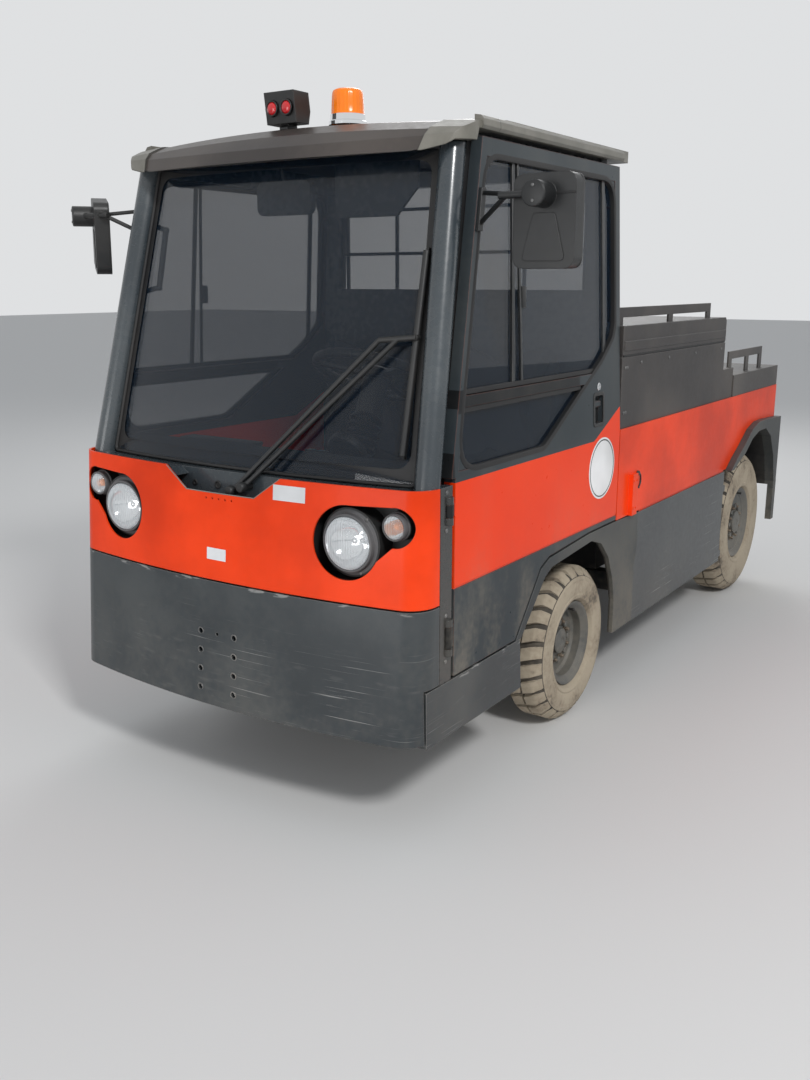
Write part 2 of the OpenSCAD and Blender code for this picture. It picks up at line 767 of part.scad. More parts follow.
// Rear arch line, from its front leg over the wheel to its rear leg.
module rear_arch_outline(grow = 0) {
  y = wheelbase;
  polygon([
    [y - 380 - grow, 600], [y - 380 - grow, 660], [y - 310 - grow * 0.8, 690 + grow * 0.4],
    [y - 225 - grow * 0.6, 718 + grow * 0.8], [y - 120 - grow * 0.2, 775 + grow], [y - 20, 800 + grow],
    [y + 100, 800 + grow], [y + 200 + grow * 0.4, 750 + grow * 0.8], [y + 280 + grow * 0.7, 640 + grow * 0.4],
    [y + 328 + grow, 500], [y + 328 + grow, 300], [y - 380 - grow, 300]]);
}

module battery_block() {
  color("#2d2f30") block([-500, 430, rail_top + touch], [500, hood_end - 40, lid_seam_z - 118]);
}

// Fixed lower part of the battery hood, open below, with its rear step. Its
// walls end in a set-back rim on which the lid rests.
module hood() {
  y0 = panel_start + 2;
  rim = 3;
  color("#4a4644") {
    difference() {
      union() {
        block([-hood_x, y0, side_z - 30], [hood_x, hood_end, lid_seam_z - 8]);
        block([-hood_x + rim, y0 + rim, side_z - 30], [hood_x - rim, hood_end - rim, lid_seam_z - touch]);
        block([-hood_x, hood_end - 10, side_z - 30], [hood_x, step_end, step_z]);
      }
      block([-hood_x + 2 * sheet_t, y0 + 2 * sheet_t, 900], [hood_x - 2 * sheet_t, hood_end - 2 * sheet_t, 1400]);
      block([-hood_x + sheet_t, hood_end + 4, 900], [hood_x - sheet_t, step_end - sheet_t, step_z - sheet_t]);
    }
    // Hinge leaves and barrels
    for (x = lid_hinges) {
      block([x - 30, hood_end - 1, lid_seam_z - 44], [x + 30, hood_end + 5, lid_seam_z - 3]);
      translate([x - 30, hood_end + lid_hinge_y, lid_seam_z]) rotate([0, 90, 0])
        cylinder(h = 60, r = lid_hinge_r, $fn = 32);
    }
  }
}

module hood_lid() {
  y0 = panel_start + 2;
  color("#4a4644") {
    difference() {
      union() {
        upright(-hood_x, 2 * hood_x) polygon([
          [y0, lid_seam_z], [hood_end, lid_seam_z], [hood_end, lid_z - 14],
          [hood_end - 14, lid_z], [y0, lid_z]]);
        // Pressed ridge along the sides
        block([-hood_x - 4, y0 + 12, lid_seam_z + 15], [hood_x + 4, hood_end - 12, lid_seam_z + 46]);
        for (x = lid_hinges, s = [-1, 1]) {
          block([x + s * 45 - 14, hood_end - 1, lid_seam_z + 3], [x + s * 45 + 14, hood_end + 5, lid_seam_z + 44]);
          translate([x + s * 45 - 14, hood_end + lid_hinge_y, lid_seam_z]) rotate([0, 90, 0])
            cylinder(h = 28, r = lid_hinge_r, $fn = 32);
        }
      }
      block([-hood_x + sheet_t, y0 + sheet_t, 1100], [hood_x - sheet_t, hood_end - sheet_t, lid_z - sheet_t]);
    }
    both() rail(y0 + 6, hood_end - 147, lid_z + 61, lid_z - 1, side_x - 40);
  }
}

// Cargo rail: a flat top bar on wide flat posts.
module rail(y0, y1, top, foot, x) {
  upright(x, 8) {
    translate([y0, top - 34]) square([y1 - y0, 34]);
    for (y = [y0, (y0 + y1) / 2, y1 - 45]) translate([y, foot]) square([45, top - foot]);
  }
}

module tail_deck() {
  color("#57524c") {
    difference() {
      block([-side_x + 2, step_end + 6, side_z + touch], [side_x - 2, tail_y, tail_z]);
      block([-side_x + 8, step_end + 12, 900], [side_x - 8, tail_y - sheet_t, tail_z - sheet_t]);
    }
    // Tail face down to the bumper plate
    block([-hood_x, tail_y - sheet_t, tail_face_z + touch], [hood_x, tail_y, side_z + 20]);
    both() rail(step_end + 10, tail_y - 196, tail_z + 102, tail_z - 1, side_x - 40);
  }
}

module rear_mudguards() {
  y = wheelbase;
  color("#454c50") both() {
    // Flare on the outside of the panel
    upright(side_x + touch, guard_proud - touch) difference() {
      union() {
        rear_arch_outline(38);
        polygon([[y + 90, 700], [y + 100, 838], [y + 362, 826], [y + 362, 360], [y + 316, 360]]);
      }
      rear_arch_outline(-6);
      translate([y - 510, 100]) square([830, 250]);
      translate([y - 510, 100]) square([200, 559]);
    }
    // Wheel housing inside the arch opening
    upright(360, side_x + touch - 359) difference() {
      rear_arch_outline(-touch);
      rear_arch_outline(-6);
      translate([y - 510, 100]) square([1100, 380]);
      translate([y - 510, 100]) square([200, 559]);
    }
  }
}

module rear_lamps() {
  color("#a01510") both() block([500, tail_y + touch, 860], [600, tail_y + 30, 960]);
}

// Bolted plate with two jaws for a drawbar eye and its pin.
module tow_coupling() {
  jaw = 22;
  nose = 50;
  pin_y = tail_y + coupling_reach - nose;
  color("#35383a") difference() {
    union() {
      block([-110, tail_y + touch, coupling_z - 110], [110, tail_y + 20, coupling_z + 110]);
      for (z = [-70, 70 - jaw]) translate([0, 0, coupling_z + z]) {
        translate([0, pin_y, 0]) cylinder(h = jaw, r = nose, $fn = 64);
        linear_extrude(jaw) polygon([
          [-90, tail_y + 10], [90, tail_y + 10], [nose - 1, pin_y], [-nose + 1, pin_y]]);
      }
    }
    translate([0, pin_y, coupling_z - 200]) cylinder(h = 400, r = coupling_bore / 2, $fn = 48);
  }
}

// Doors

// Outline of a door seen from the side: sill, wheel arch, and the raked front edge.
module door_outline() {
  polygon([
    [-door_front, skirt_top + door_gap], [-508, skirt_top + door_gap], [-348, 628], [-290, 650],
    [14, 668], [door_rear, 668], [door_rear, door_top],
    [door_foot_y + (door_top - belt_z) * tan(rake), door_top], [door_foot_y, belt_z], [-door_front, belt_z]]);
}

// Window in the door, with its front edge raked like the pillar.
module window_outline(grow = 0) {
  frame = 30 - grow;
  low = belt_z + 15 - grow;
  high = door_top - 48 + grow;
  polygon([
    [door_foot_y + frame + (low - belt_z) * tan(rake), low], [-344 + grow / 2, low],
    [86 + grow, belt_z + 248 - grow], [door_rear - 40 + grow, belt_z + 330],
    [door_rear - 40 + grow, high], [door_foot_y + frame + (high - belt_z) * tan(rake), high]]);
}

// Slab between two depths behind the door's outer face, upright to the belt
// line and leaning in above it.
module door_slab(near, far) {
  in = (door_top - belt_z) * tan(tumble);
  intersection() {
    upright(0, side_x + 1) children();
    translate([0, 400, 0]) rotate([90, 0, 0]) linear_extrude(1500) polygon([
      [side_x - far, 400], [side_x - near, 400], [side_x - near, belt_z],
      [side_x - near - in, door_top], [side_x - far - in, door_top], [side_x - far, belt_z]]);
  }
}

window_bar = [178, 208];

module door() {
  color("#f04a1c") difference() {
    union() {
      door_slab(0, door_t) difference() {
        door_outline();
        difference() {
          window_outline();
          translate([-900, belt_z + window_bar[0]]) square([1200, window_bar[1] - window_bar[0]]);
        }
      }
      // Hinge barrels and their arms
      for (z = hinges) {
        z0 = z[0] + hinge_cover + touch;
        z1 = z[1] - hinge_cover - touch;
        translate([hinge_x, hinge_y, z0]) cylinder(h = z1 - z0, r = hinge_r, $fn = 48);
        block([hinge_x - 9, hinge_y, z0], [hinge_x + 3, -door_front + 8, z1]);
      }
    }
    for (z = hinges) translate([hinge_x, hinge_y, z[0]])
      cylinder(h = z[1] - z[0], r = hinge_pin_r + run_fit, $fn = 48);
    // Handle's pocket, with its lever left standing, and the crease below the red
    difference() {
      block([side_x - 24, 22, belt_z + 42], [side_x + 1, 92, belt_z + 136]);
      block([side_x - 25, 34, belt_z + 98], [side_x - 9, 80, belt_z + 114]);
    }
    block([side_x - 2, -door_front - 1, seatbox_z - 8], [side_x + 1, door_rear + 1, seatbox_z - 2]);
  }
}

module door_glass() {
  color("#5d7480") door_slab(14, 14 + glass_t) difference() {
    window_outline(-0.2);
    translate([-900, belt_z + window_bar[0] - 0.2]) square([1200, window_bar[1] - window_bar[0] + 0.4]);
  }
}

// Mirror on the door: sloping bracket, forked arm, drum clamp and a rounded head
// that swings and tilts on the drum. Its outer edge stands at the mirrors' reach.
module door_mirror(y, swing, tilt) {
  head = [170, 44, 228];
  round = 26;
  hang = 62;
  out = (head.x / 2 - round) * cos(tilt) + (head.z / 2 - round + hang) * sin(tilt) + round;
  x = mirror_reach - out * cos(swing) - 10 * sin(swing);
  arm_y = y - 44;
  z = [mirror_z - belt_z - 80, mirror_z - belt_z + 30];
  front = [for (h = z) door_foot_y + h * tan(rake) + 5];
  face = [for (h = [z[0] + 20, z[1] - 14]) side_x + 5.8 - h * tan(tumble)];
  color("#1d1f20") {
    translate([side_x, 0, belt_z]) rotate([0, -tumble, 0]) upright(touch, 9)
      polygon([[front[0], z[0]], [front[0] + 22, z[0]], [front[1] + 22, z[1]], [front[1], z[1]]]);
    // Forked arm to the tube that carries the head
    bar([face[0], front[0] + 18, belt_z + z[0] + 20], [x - 88, arm_y, mirror_z], 6.5);
    bar([face[1], front[1] + 9, belt_z + z[1] - 14], [x - 62, arm_y, mirror_z], 6);
    translate([x - 108, arm_y, mirror_z]) rotate([0, 90, 0]) cylinder(h = 120, r = 9, $fn = 32);
    translate([x, y, mirror_z]) rotate([0, 0, swing]) rotate([0, -tilt, 0]) {
      rotate([90, 0, 0]) cylinder(h = 72, r = 32, $fn = 48);
      translate([0, head.y - 10, -hang]) rotate([90, 0, 0]) linear_extrude(head.y)
        polygon(rounded(head.x, head.z, round));
    }
  }
}

module mirror_left() { door_mirror(-730, 0, 0); }
module mirror_right() { mirror([1, 0, 0]) door_mirror(-740, 38, 10); }
module door_left() { door(); }
module door_right() { mirror([1, 0, 0]) door(); }
module door_glass_left() { door_glass(); }
module door_glass_right() { mirror([1, 0, 0]) door_glass(); }

module knuckle_left() { knuckle(); }
module knuckle_right() { mirror([1, 0, 0]) knuckle(); }

module front_tyre() {
  color("#8c8272") translate([wheel_out, 0, front_r]) tyre(front_r, front_w, front_rim_r - 4 + touch);
}

module rear_tyre() {
  color("#8c8272") translate([wheel_out, wheelbase, rear_r]) tyre(rear_r, rear_w, rear_rim_r - 4 + touch);
}

module front_rim() {
  color("#5f6462") translate([wheel_out, 0, front_r]) rim(front_rim_r, front_w, 70, 42, spindle_r + run_fit);
}

module rear_rim() {
  color("#5f6462") translate([wheel_out, wheelbase, rear_r]) rim(rear_rim_r, rear_w, 40, 52, axle_r + run_fit);
}

place() chassis_frame();
place() axles();
place() front_bumper();
place() front_panel();
place() headlamp_housings();
place() front_lenses();
place() wiper();
place() windscreen();
place() cab_frame();
place() cab_floor();
place() dashboard();
place() steering_wheel();
place() seat_bases();
place() seat_cushions();
place() seat_backs();
place() roof();
place() rear_window();
place() beacon();
place() twin_lamp();
place() side_skirts();
place() front_mudguards();
place() side_panels();
place() battery_block();
place() hood();
place() hood_lid();
place() tail_deck();
place() rear_mudguards();
place() rear_lamps();
place() tow_coupling();
place() door_left();
place() door_right();
place() door_glass_left();
place() door_glass_right();
place() mirror_left();
place() mirror_right();
place() knuckle_left();
place() knuckle_right();
place() front_tyre();  // tyre_front_left
place() mirror([1, 0, 0]) front_tyre();  // tyre_front_right
place() rear_tyre();  // tyre_rear_left
place() mirror([1, 0, 0]) rear_tyre();  // tyre_rear_right
place() front_rim();  // rim_front_left
place() mirror([1, 0, 0]) front_rim();  // rim_front_right
place() rear_rim();  // rim_rear_left
place() mirror([1, 0, 0]) rear_rim();  // rim_rear_right
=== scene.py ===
import math

import bmesh
import bpy
from mathutils import Matrix, Vector
from mathutils.geometry import tessellate_polygon


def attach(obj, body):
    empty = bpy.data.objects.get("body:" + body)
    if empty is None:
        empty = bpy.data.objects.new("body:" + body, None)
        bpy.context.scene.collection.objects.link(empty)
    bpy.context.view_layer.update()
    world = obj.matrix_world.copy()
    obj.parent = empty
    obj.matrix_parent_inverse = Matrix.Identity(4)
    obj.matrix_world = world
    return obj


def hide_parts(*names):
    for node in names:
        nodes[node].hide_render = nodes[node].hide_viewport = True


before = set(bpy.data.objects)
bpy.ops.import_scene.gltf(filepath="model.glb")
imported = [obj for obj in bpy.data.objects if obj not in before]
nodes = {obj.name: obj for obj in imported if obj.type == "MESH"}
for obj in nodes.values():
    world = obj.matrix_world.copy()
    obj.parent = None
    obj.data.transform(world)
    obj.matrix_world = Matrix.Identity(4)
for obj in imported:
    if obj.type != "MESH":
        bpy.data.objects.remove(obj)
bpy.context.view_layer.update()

# Studio: a plain pale floor under soft lamps, with the camera where the photographer
# stood, 2 m to the vehicle's left and nearly 4 m ahead of its middle.
scene = bpy.context.scene
scene.view_settings.view_transform = "Standard"
camera = bpy.data.objects.new("camera", bpy.data.cameras.new("camera"))
scene.collection.objects.link(camera)
camera.data.lens = 35.0
camera.data.sensor_width = 36.0
camera.location = (2.0333, -3.8228, 1.4817)
camera.rotation_euler = (math.radians(90 - 13.81), 0, math.radians(33.66))
scene.camera = camera

world = bpy.data.worlds.new("studio")
scene.world = world
world.use_nodes = True
sky = world.node_tree
ambient = sky.nodes["Background"]
ambient.inputs["Color"].default_value = (0.86, 0.9, 0.95, 1)
ambient.inputs["Strength"].default_value = 0.5
backdrop = sky.nodes.new("ShaderNodeBackground")
backdrop.inputs["Color"].default_value = (0.74, 0.75, 0.76, 1)
backdrop.inputs["Strength"].default_value = 1.0
rays = sky.nodes.new("ShaderNodeLightPath")
passed = sky.nodes.new("ShaderNodeMath")
passed.operation = "MAXIMUM"
sky.links.new(rays.outputs["Is Glossy Ray"], passed.inputs[0])
sky.links.new(rays.outputs["Is Transmission Ray"], passed.inputs[1])
seen = sky.nodes.new("ShaderNodeMath")
seen.operation = "MAXIMUM"
sky.links.new(rays.outputs["Is Camera Ray"], seen.inputs[0])
sky.links.new(passed.outputs[0], seen.inputs[1])
mixed = sky.nodes.new("ShaderNodeMixShader")
sky.links.new(seen.outputs[0], mixed.inputs[0])
sky.links.new(ambient.outputs[0], mixed.inputs[1])
sky.links.new(backdrop.outputs[0], mixed.inputs[2])
sky.links.new(mixed.outputs[0], sky.nodes["World Output"].inputs["Surface"])

for name, place, turn, size, power in [
    ("key", (5.2, -4.4, 5.6), (48, 0, 50), 1.1, 330),
    ("fill", (-0.6, -7.5, 1.0), (88, 0, -5), 3.0, 90),
    ("rim", (-2.5, 5.0, 4.6), (-48, 0, 26), 3.5, 120),
]:
    lamp = bpy.data.objects.new(name, bpy.data.lights.new(name, "AREA"))
    lamp.data.size = size
    lamp.data.energy = power
    lamp.location = place
    lamp.rotation_euler = [math.radians(a) for a in turn]
    scene.collection.objects.link(lamp)


class Shade:
    """A number or colour that changes over a surface. Its sums add Math nodes."""

    def __init__(self, finish, out):
        self.finish = finish
        self.out = out

    def math(self, kind, *values):
        return self.finish.node("Math", {"operation": kind}, dict(enumerate(values)))

    def __add__(self, other):
        return self.math("ADD", self, other)

    def __mul__(self, other):
        return self.math("MULTIPLY", self, other)

    def __sub__(self, other):
        return self.math("SUBTRACT", self, other)

    def __rsub__(self, other):
        return self.math("SUBTRACT", other, self)

    __radd__ = __add__
    __rmul__ = __mul__

    def __abs__(self):
        return self.math("ABSOLUTE", self)

    def sine(self):
        return self.math("SINE", self)

    def least(self, other):
        return self.math("MINIMUM", self, other)

    def most(self, other):
        return self.math("MAXIMUM", self, other)

    def over(self, limit):
        return self.math("GREATER_THAN", self, limit)

    def under(self, limit):
        return self.math("LESS_THAN", self, limit)


class Finish:
    """One paint, plastic, rubber or glass, as a material with its own nodes."""

    def __init__(self, name, colour=(0.5, 0.5, 0.5), **sockets):
        self.material = bpy.data.materials.new(name)
        self.material.use_nodes = True
        self.tree = self.material.node_tree
        self.shader = self.tree.nodes["Principled BSDF"]
        self.set(Base_Color=colour, **sockets)

    def feed(self, socket, value):
        if isinstance(value, Shade):
            self.tree.links.new(value.out, socket)
        elif hasattr(value, "__len__") and socket.type == "RGBA":
            socket.default_value = tuple(value)[:3] + (1,)
        else:
            socket.default_value = value

    def set(self, **sockets):
        for name, value in sockets.items():
            self.feed(self.shader.inputs[name.replace("_", " ")], value)

    def node(self, kind, settings=None, values=None, out=0):
        node = self.tree.nodes.new("ShaderNode" + kind)
        for name, value in (settings or {}).items():
            setattr(node, name, value)
        for name, value in (values or {}).items():
            self.feed(node.inputs[name], value)
        return Shade(self, node.outputs[out])

    def axes(self):
        place = self.node("TexCoord", out=3)
        parts = self.tree.nodes.new("ShaderNodeSeparateXYZ")
        self.feed(parts.inputs[0], place)
        return [Shade(self, out) for out in parts.outputs]

    def noise(self, scale, detail=3.0, stretch=(1, 1, 1), rough=0.5):
        spot = self.node("Mapping", {}, {0: self.node("TexCoord", out=3), 3: stretch})
        values = {"Vector": spot, "Scale": scale, "Detail": detail, "Roughness": rough}
        return self.node("TexNoise", {}, values)

    def ramp(self, value, low, high):
        smooth = {"interpolation_type": "SMOOTHSTEP"}
        return self.node("MapRange", smooth, {0: value, 1: low, 2: high})

    def mix(self, first, second, share):
        return self.node("Mix", {"data_type": "RGBA"}, {0: share, 6: first, 7: second}, out=2)

    def edges(self, radius):
        soft = self.node("Bevel", {"samples": 4}, {0: radius})
        flat = self.node("NewGeometry", out=1)
        close = self.node("VectorMath", {"operation": "DOT_PRODUCT"}, {0: soft, 1: flat}, out=1)
        return soft, 1 - close

    def bump(self, height, distance=0.001, strength=1.0, over=None):
        values = {"Height": height, "Distance": distance, "Strength": strength}
        if over:
            values["Normal"] = over
        self.set(Normal=self.node("Bump", {}, values))


floor_paint = Finish("pale_floor", (0.68, 0.675, 0.665), Roughness=0.75)
floor_mesh = bpy.data.meshes.new("floor")
floor_corners = [(-40, -40, 0), (40, -40, 0), (40, 40, 0), (-40, 40, 0)]
floor_mesh.from_pydata(floor_corners, [], [(0, 1, 2, 3)])
floor_mesh.materials.append(floor_paint.material)
floor = bpy.data.objects.new("floor", floor_mesh)
scene.collection.objects.link(floor)

# Chassis: two steel rails, cross members and outriggers, welded and sprayed with
# dull dark paint, then left to gather dust and a little rust.
DUST = (0.36, 0.31, 0.24)
RUBBED_STEEL = (0.32, 0.31, 0.3)


def dress(finish, *names):
    """Gives solids of the frame a finish."""
    for name in names:
        slots = nodes[name].data.materials
        slots.clear()
        slots.append(finish.material)


def weathered(name, colour, rough=0.4, coat=0.0, dust=0.4, wear=0.5, bare=RUBBED_STEEL,
              grain=0.0, metallic=0.0):
    """Paint or plastic with settled dust, cloudy fading and edges rubbed bare."""
    finish = Finish(name, colour, Metallic=metallic, Coat_Weight=coat, Coat_Roughness=0.08)
    height = finish.axes()[2]
    cloud = finish.noise(2.6, 5)
    fine = finish.noise(46, 4)
    soft, edge = finish.edges(0.004)
    low = finish.ramp(height, 0.75, 0.15) * 0.75 + 0.25
    settled = finish.ramp(cloud + fine * 0.35, 0.52, 0.86) * low * dust
    rubbed = finish.ramp(edge * 2.4 + fine * 0.5 - 0.32, 0.22, 0.5) * wear
    deep = [c * 0.72 for c in colour]
    faded = [min(c * 1.18, 1) for c in colour]
    paint = finish.mix(deep, faded, finish.ramp(cloud, 0.3, 0.7))
    worn = finish.mix(paint, bare, rubbed)
    finish.set(Base_Color=finish.mix(worn, DUST, settled))
    finish.set(Roughness=(settled * 0.45 + fine * 0.14 + (rough - 0.07)).least(1.0))
    relief = finish.noise(900, 2) * grain + finish.noise(9, 2) * 0.12 - rubbed * 0.25
    finish.bump(relief, 0.0006, 0.6, soft)
    finish.paint = worn
    finish.settled = settled
    finish.soft = soft
    finish.relief = relief
    return finish


rust = (0.16, 0.07, 0.035)
frame_paint = weathered("dark_frame_paint", (0.03, 0.034, 0.038), 0.55, dust=0.8, bare=rust)
dress(frame_paint, "chassis_frame")

# Axles, knuckles and coupling: steel castings with a rough skin, left unpainted
# where they are machined, oily and dusty from years close to the ground.
oily_rust = (0.12, 0.06, 0.035)
cast_skin = weathered("cast_steel_skin", (0.035, 0.036, 0.038), 0.6, dust=0.9, grain=0.9, bare=oily_rust)
dress(cast_skin, "axles", "knuckle_left", "knuckle_right", "tow_coupling")

# Battery: a tray of lead-acid cells under the hood's lid, in black plastic cases,
# lowered in from above and held by its own weight.
dress(weathered("battery_case", (0.02, 0.02, 0.022), 0.5, grain=0.3), "battery_block")


# Bumper apron: one bowed steel plate in blue-grey paint, bolted to the rails and
# scraped along its lower half and its top edge by carts and kerbs.
def scraped(name, colour, low, high, top, end):
    """Paint with level scratches below a height, and chips along its top edge."""
    finish = weathered(name, colour, 0.36, coat=0.15, dust=0.22, wear=0.8, bare=(0.3, 0.28, 0.26))
    x, y, z = finish.axes()
    band = finish.ramp(z, high, low)
    patch = finish.ramp(finish.noise(3.4, 3), 0.46, 0.62)
    level = finish.noise(5.0, 4, (0.35, 0.35, 34), 0.62)
    slanted = finish.noise(4.0, 5, (0.5, 0.9, 60), 0.7)
    cut = finish.ramp(level, 0.615, 0.66).most(finish.ramp(slanted, 0.66, 0.69)) * patch * band
    chips = finish.ramp(finish.noise(38, 3, (0.5, 0.5, 2)), 0.58, 0.64)
    chips = chips * finish.ramp(abs(z - top), 0.012, 0.004) * finish.ramp(y, end + 0.01, end)
    cut = cut.most(chips)
    scuff = finish.ramp(finish.noise(13, 6, (1, 1, 5)), 0.58, 0.74) * band * 0.25
    scratched = finish.mix(finish.paint, (0.27, 0.27, 0.26), cut * 0.85)
    scratched = finish.mix(scratched, (0.13, 0.13, 0.125), scuff)
    finish.set(Base_Color=finish.mix(scratched, DUST, finish.settled * 0.6))
    finish.bump(finish.relief - cut * 0.8, 0.0008, 0.7, finish.soft)
    return finish


apron_paint = scraped("scraped_blue_grey", (0.031, 0.039, 0.044), 0.36, 0.66, 0.652, -1.0)
dress(apron_paint, "front_bumper")

# Side steps and battery slabs: thick steel plates hung from the outriggers, in the
# same paint as the apron and scraped like it.
slab_paint = scraped("scraped_side_steel", (0.036, 0.042, 0.045), 0.3, 0.72, 0.427, -0.9)
dress(slab_paint, "side_skirts")

# Red panels: the nose and the sides of the battery hood, pressed from sheet steel
# and sprayed with orange-red enamel, dusty in the corners.
red_enamel = weathered("orange_red_enamel", (0.92, 0.05, 0.003), 0.36, coat=0.06, dust=0.06, wear=0.4,
                       bare=(0.55, 0.12, 0.06))
red_enamel.set(Specular_IOR_Level=0.18)
dress(red_enamel, "front_panel", "side_panels")

# Blank plates: two white plastic stickers, one beside the notch and one low in the
# middle, stuck flat on the bowed red front.
FRONT_AXLE = 643.09
sticker_white = weathered("sticker_white", (0.72, 0.73, 0.74), 0.4, dust=0.12, wear=0)


def at(x, y, z):
    """Point in metres, from millimetres with y counted back from the front axle."""
    return Vector((x, y - FRONT_AXLE, z)) / 1000


def on_nose(x, z, out=0.0):
    """Point on the bowed front at a side and height in millimetres."""
    bow, corner, half = 3400.0, 80.0, 650.0
    front, apron_top, lean = -1087, 655, math.tan(math.radians(4.3))
    flat = half - corner
    set_back = bow - math.sqrt((bow - corner) ** 2 - flat * flat)
    side = abs(x)
    if side < bow * flat / (bow - corner):
        depth = bow - math.sqrt(bow * bow - x * x)
    else:
        depth = set_back - math.sqrt(max(corner ** 2 - (side - flat) ** 2, 0))
    return at(x, front - (apron_top - z) * lean + depth - out, z)


def piece(name, mesh, finish, body="chassis", smooth=35, stands_for=()):
    """A new piece from a bmesh, in one finish, that rides on a body."""
    data = bpy.data.meshes.new(name)
    bmesh.ops.recalc_face_normals(mesh, faces=mesh.faces)
    for face in mesh.faces:
        face.smooth = True
    mesh.to_mesh(data)
    mesh.free()
    data.set_sharp_from_angle(angle=math.radians(smooth))
    data.materials.append(finish.material)
    made = bpy.data.objects.new(name, data)
    scene.collection.objects.link(made)
    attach(made, body)
    if stands_for:
        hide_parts(*stands_for)
    return made


columns = 6
for name, mid_x, mid_z, wide, high in [
    ("front_label_upper", 247, 931, 105, 42),
    ("front_label_lower", -6, 733, 72, 34),
]:
    mesh = bmesh.new()
    rows = []
    for j in (0, 1):
        z = mid_z + high * (j - 0.5)
        line = [mid_x + wide * (i / columns - 0.5) for i in range(columns + 1)]
        rows.append([mesh.verts.new(on_nose(x, z, 0.7)) for x in line])
    low, top = rows
    for i in range(columns):
        mesh.faces.new([low[i], low[i + 1], top[i + 1], top[i]])
    piece(name, mesh, sticker_white)

# Bolt holes of the apron: two rows of four, for a front coupling, with their rims
# rubbed to bare steel.
AHEAD = Matrix.Rotation(math.radians(90), 3, "X")
steel_stud = weathered("dull_stud", (0.2, 0.2, 0.2), 0.4, dust=0.4, metallic=0.7)


def turned(mesh, profile, place, turn, steps=48):
    """Adds a solid of revolution: profile of (radius, height) along the turned Z."""
    rings = []
    for r, h in profile:
        if r < 1e-6:
            rings.append([mesh.verts.new(place + turn @ Vector((0, 0, h)))])
            continue
        ring = []
        for i in range(steps):
            a = 2 * math.pi * i / steps
            ring.append(mesh.verts.new(place + turn @ Vector((r * math.cos(a), r * math.sin(a), h))))
        rings.append(ring)
    for one, two in zip(rings, rings[1:]):
        for i in range(steps):
            j = (i + 1) % steps
            quad = [one[i % len(one)], one[j % len(one)], two[j % len(two)], two[i % len(two)]]
            quad = list(dict.fromkeys(quad))
            if len(quad) > 2:
                mesh.faces.new(quad)


mesh = bmesh.new()
hole_rim = [(0.0082, -0.0005), (0.0118, -0.0005), (0.0112, 0.0006), (0.0082, 0.0006)]
for x in (-64, 64):
    for z in (332, 388, 444, 500):
        turned(mesh, hole_rim, on_nose(x, z), AHEAD, 24)
piece("apron_hole_rims", mesh, steel_stud)

# Lip of the notch: the folded top edge of the red nose under the wiper spindles,
# with its paint worn off by hands and cloths.
bare_lip = weathered("worn_lip", (0.26, 0.25, 0.23), 0.5, dust=0.3, wear=0.3)


def round_section(radius, sides, height=None):
    """Round section of a bar or cord, or an oval one if a height is given."""
    turns = [2 * math.pi * i / sides for i in range(sides)]
    return [(radius * math.cos(a), (height or radius) * math.sin(a)) for a in turns]


def sweep(mesh, path, section, closed=False, up=None):
    """Adds a section carried along a path, capped at its ends unless closed."""
    rings = []
    count = len(path)
    normal = None
    for i, p in enumerate(path):
        before = path[i - 1] if i or closed else path[i]
        after = path[(i + 1) % count] if i < count - 1 or closed else path[i]
        along = (after - before).normalized()
        if up is not None:
            normal = along.cross(up).normalized()
        elif normal is None:
            normal = along.orthogonal().normalized()
        else:
            normal = (normal - along * normal.dot(along)).normalized()
        other = along.cross(normal) if up is None else up
        stretch = 1.0
        if up is not None and (closed or 0 < i < count - 1):
            turn = (p - before).normalized().dot((after - p).normalized())
            stretch = 1 / max(math.sqrt(max((1 + turn) / 2, 0)), 0.5)
        rings.append([mesh.verts.new(p + normal * u * stretch + other * v) for u, v in section])
    size = len(section)
    for i in range(count if closed else count - 1):
        one = rings[i]
        two = rings[(i + 1) % count]
        for k in range(size):
            mesh.faces.new([one[k], one[(k + 1) % size], two[(k + 1) % size], two[k]])
    if not closed:
        mesh.faces.new(rings[0])
        mesh.faces.new(list(reversed(rings[-1])))


mesh = bmesh.new()
corners = [(-213, 966), (-127.5, 906.5), (127.5, 906.5), (213, 966)]
lip_line = []
for (x0, z0), (x1, z1) in zip(corners, corners[1:]):
    for k in range(8):
        lip_line.append(on_nose(x0 + (x1 - x0) * k / 8, z0 + (z1 - z0) * k / 8, -1.2))
lip_line.append(on_nose(213, 966, -1.2))
sweep(mesh, lip_line, round_section(0.0016, 8, 0.0012))
piece("notch_lip", mesh, bare_lip, smooth=60)

# Fittings of black moulded plastic: lamp buckets, the wiper's arms, mirror shells,
# seat bases, the steering wheel and the hood of the two roof lamps.
black_plastic = weathered("black_plastic", (0.013, 0.014, 0.015), 0.42, dust=0.12, wear=0.1, grain=0.4)
dress(black_plastic, "headlamp_housings", "wiper", "steering_wheel", "seat_bases")
dress(black_plastic, "mirror_left", "mirror_right", "twin_lamp")

# Cab frame: pillars and rear wall welded from steel tube and sheet, in gloss
# blue-grey enamel, with matt hinge strips and dark hinge leaves low at the front.
cab_enamel = weathered("blue_grey_enamel", (0.042, 0.054, 0.063), 0.26, coat=0.4, dust=0.2, wear=0.2)
x, y, z = cab_enamel.axes()
hinge_strip = cab_enamel.ramp(abs(x), 0.6275, 0.6285) * cab_enamel.ramp(z, 0.968, 0.966)
hinge_leaf = cab_enamel.ramp(abs(x), 0.6355, 0.6365) * hinge_strip
matt = cab_enamel.mix((0.031, 0.037, 0.036), (0.016, 0.017, 0.017), hinge_leaf)
sprayed = cab_enamel.mix(cab_enamel.paint, matt, hinge_strip)
cab_enamel.set(Base_Color=cab_enamel.mix(sprayed, DUST, cab_enamel.settled))
dress(cab_enamel, "cab_frame")

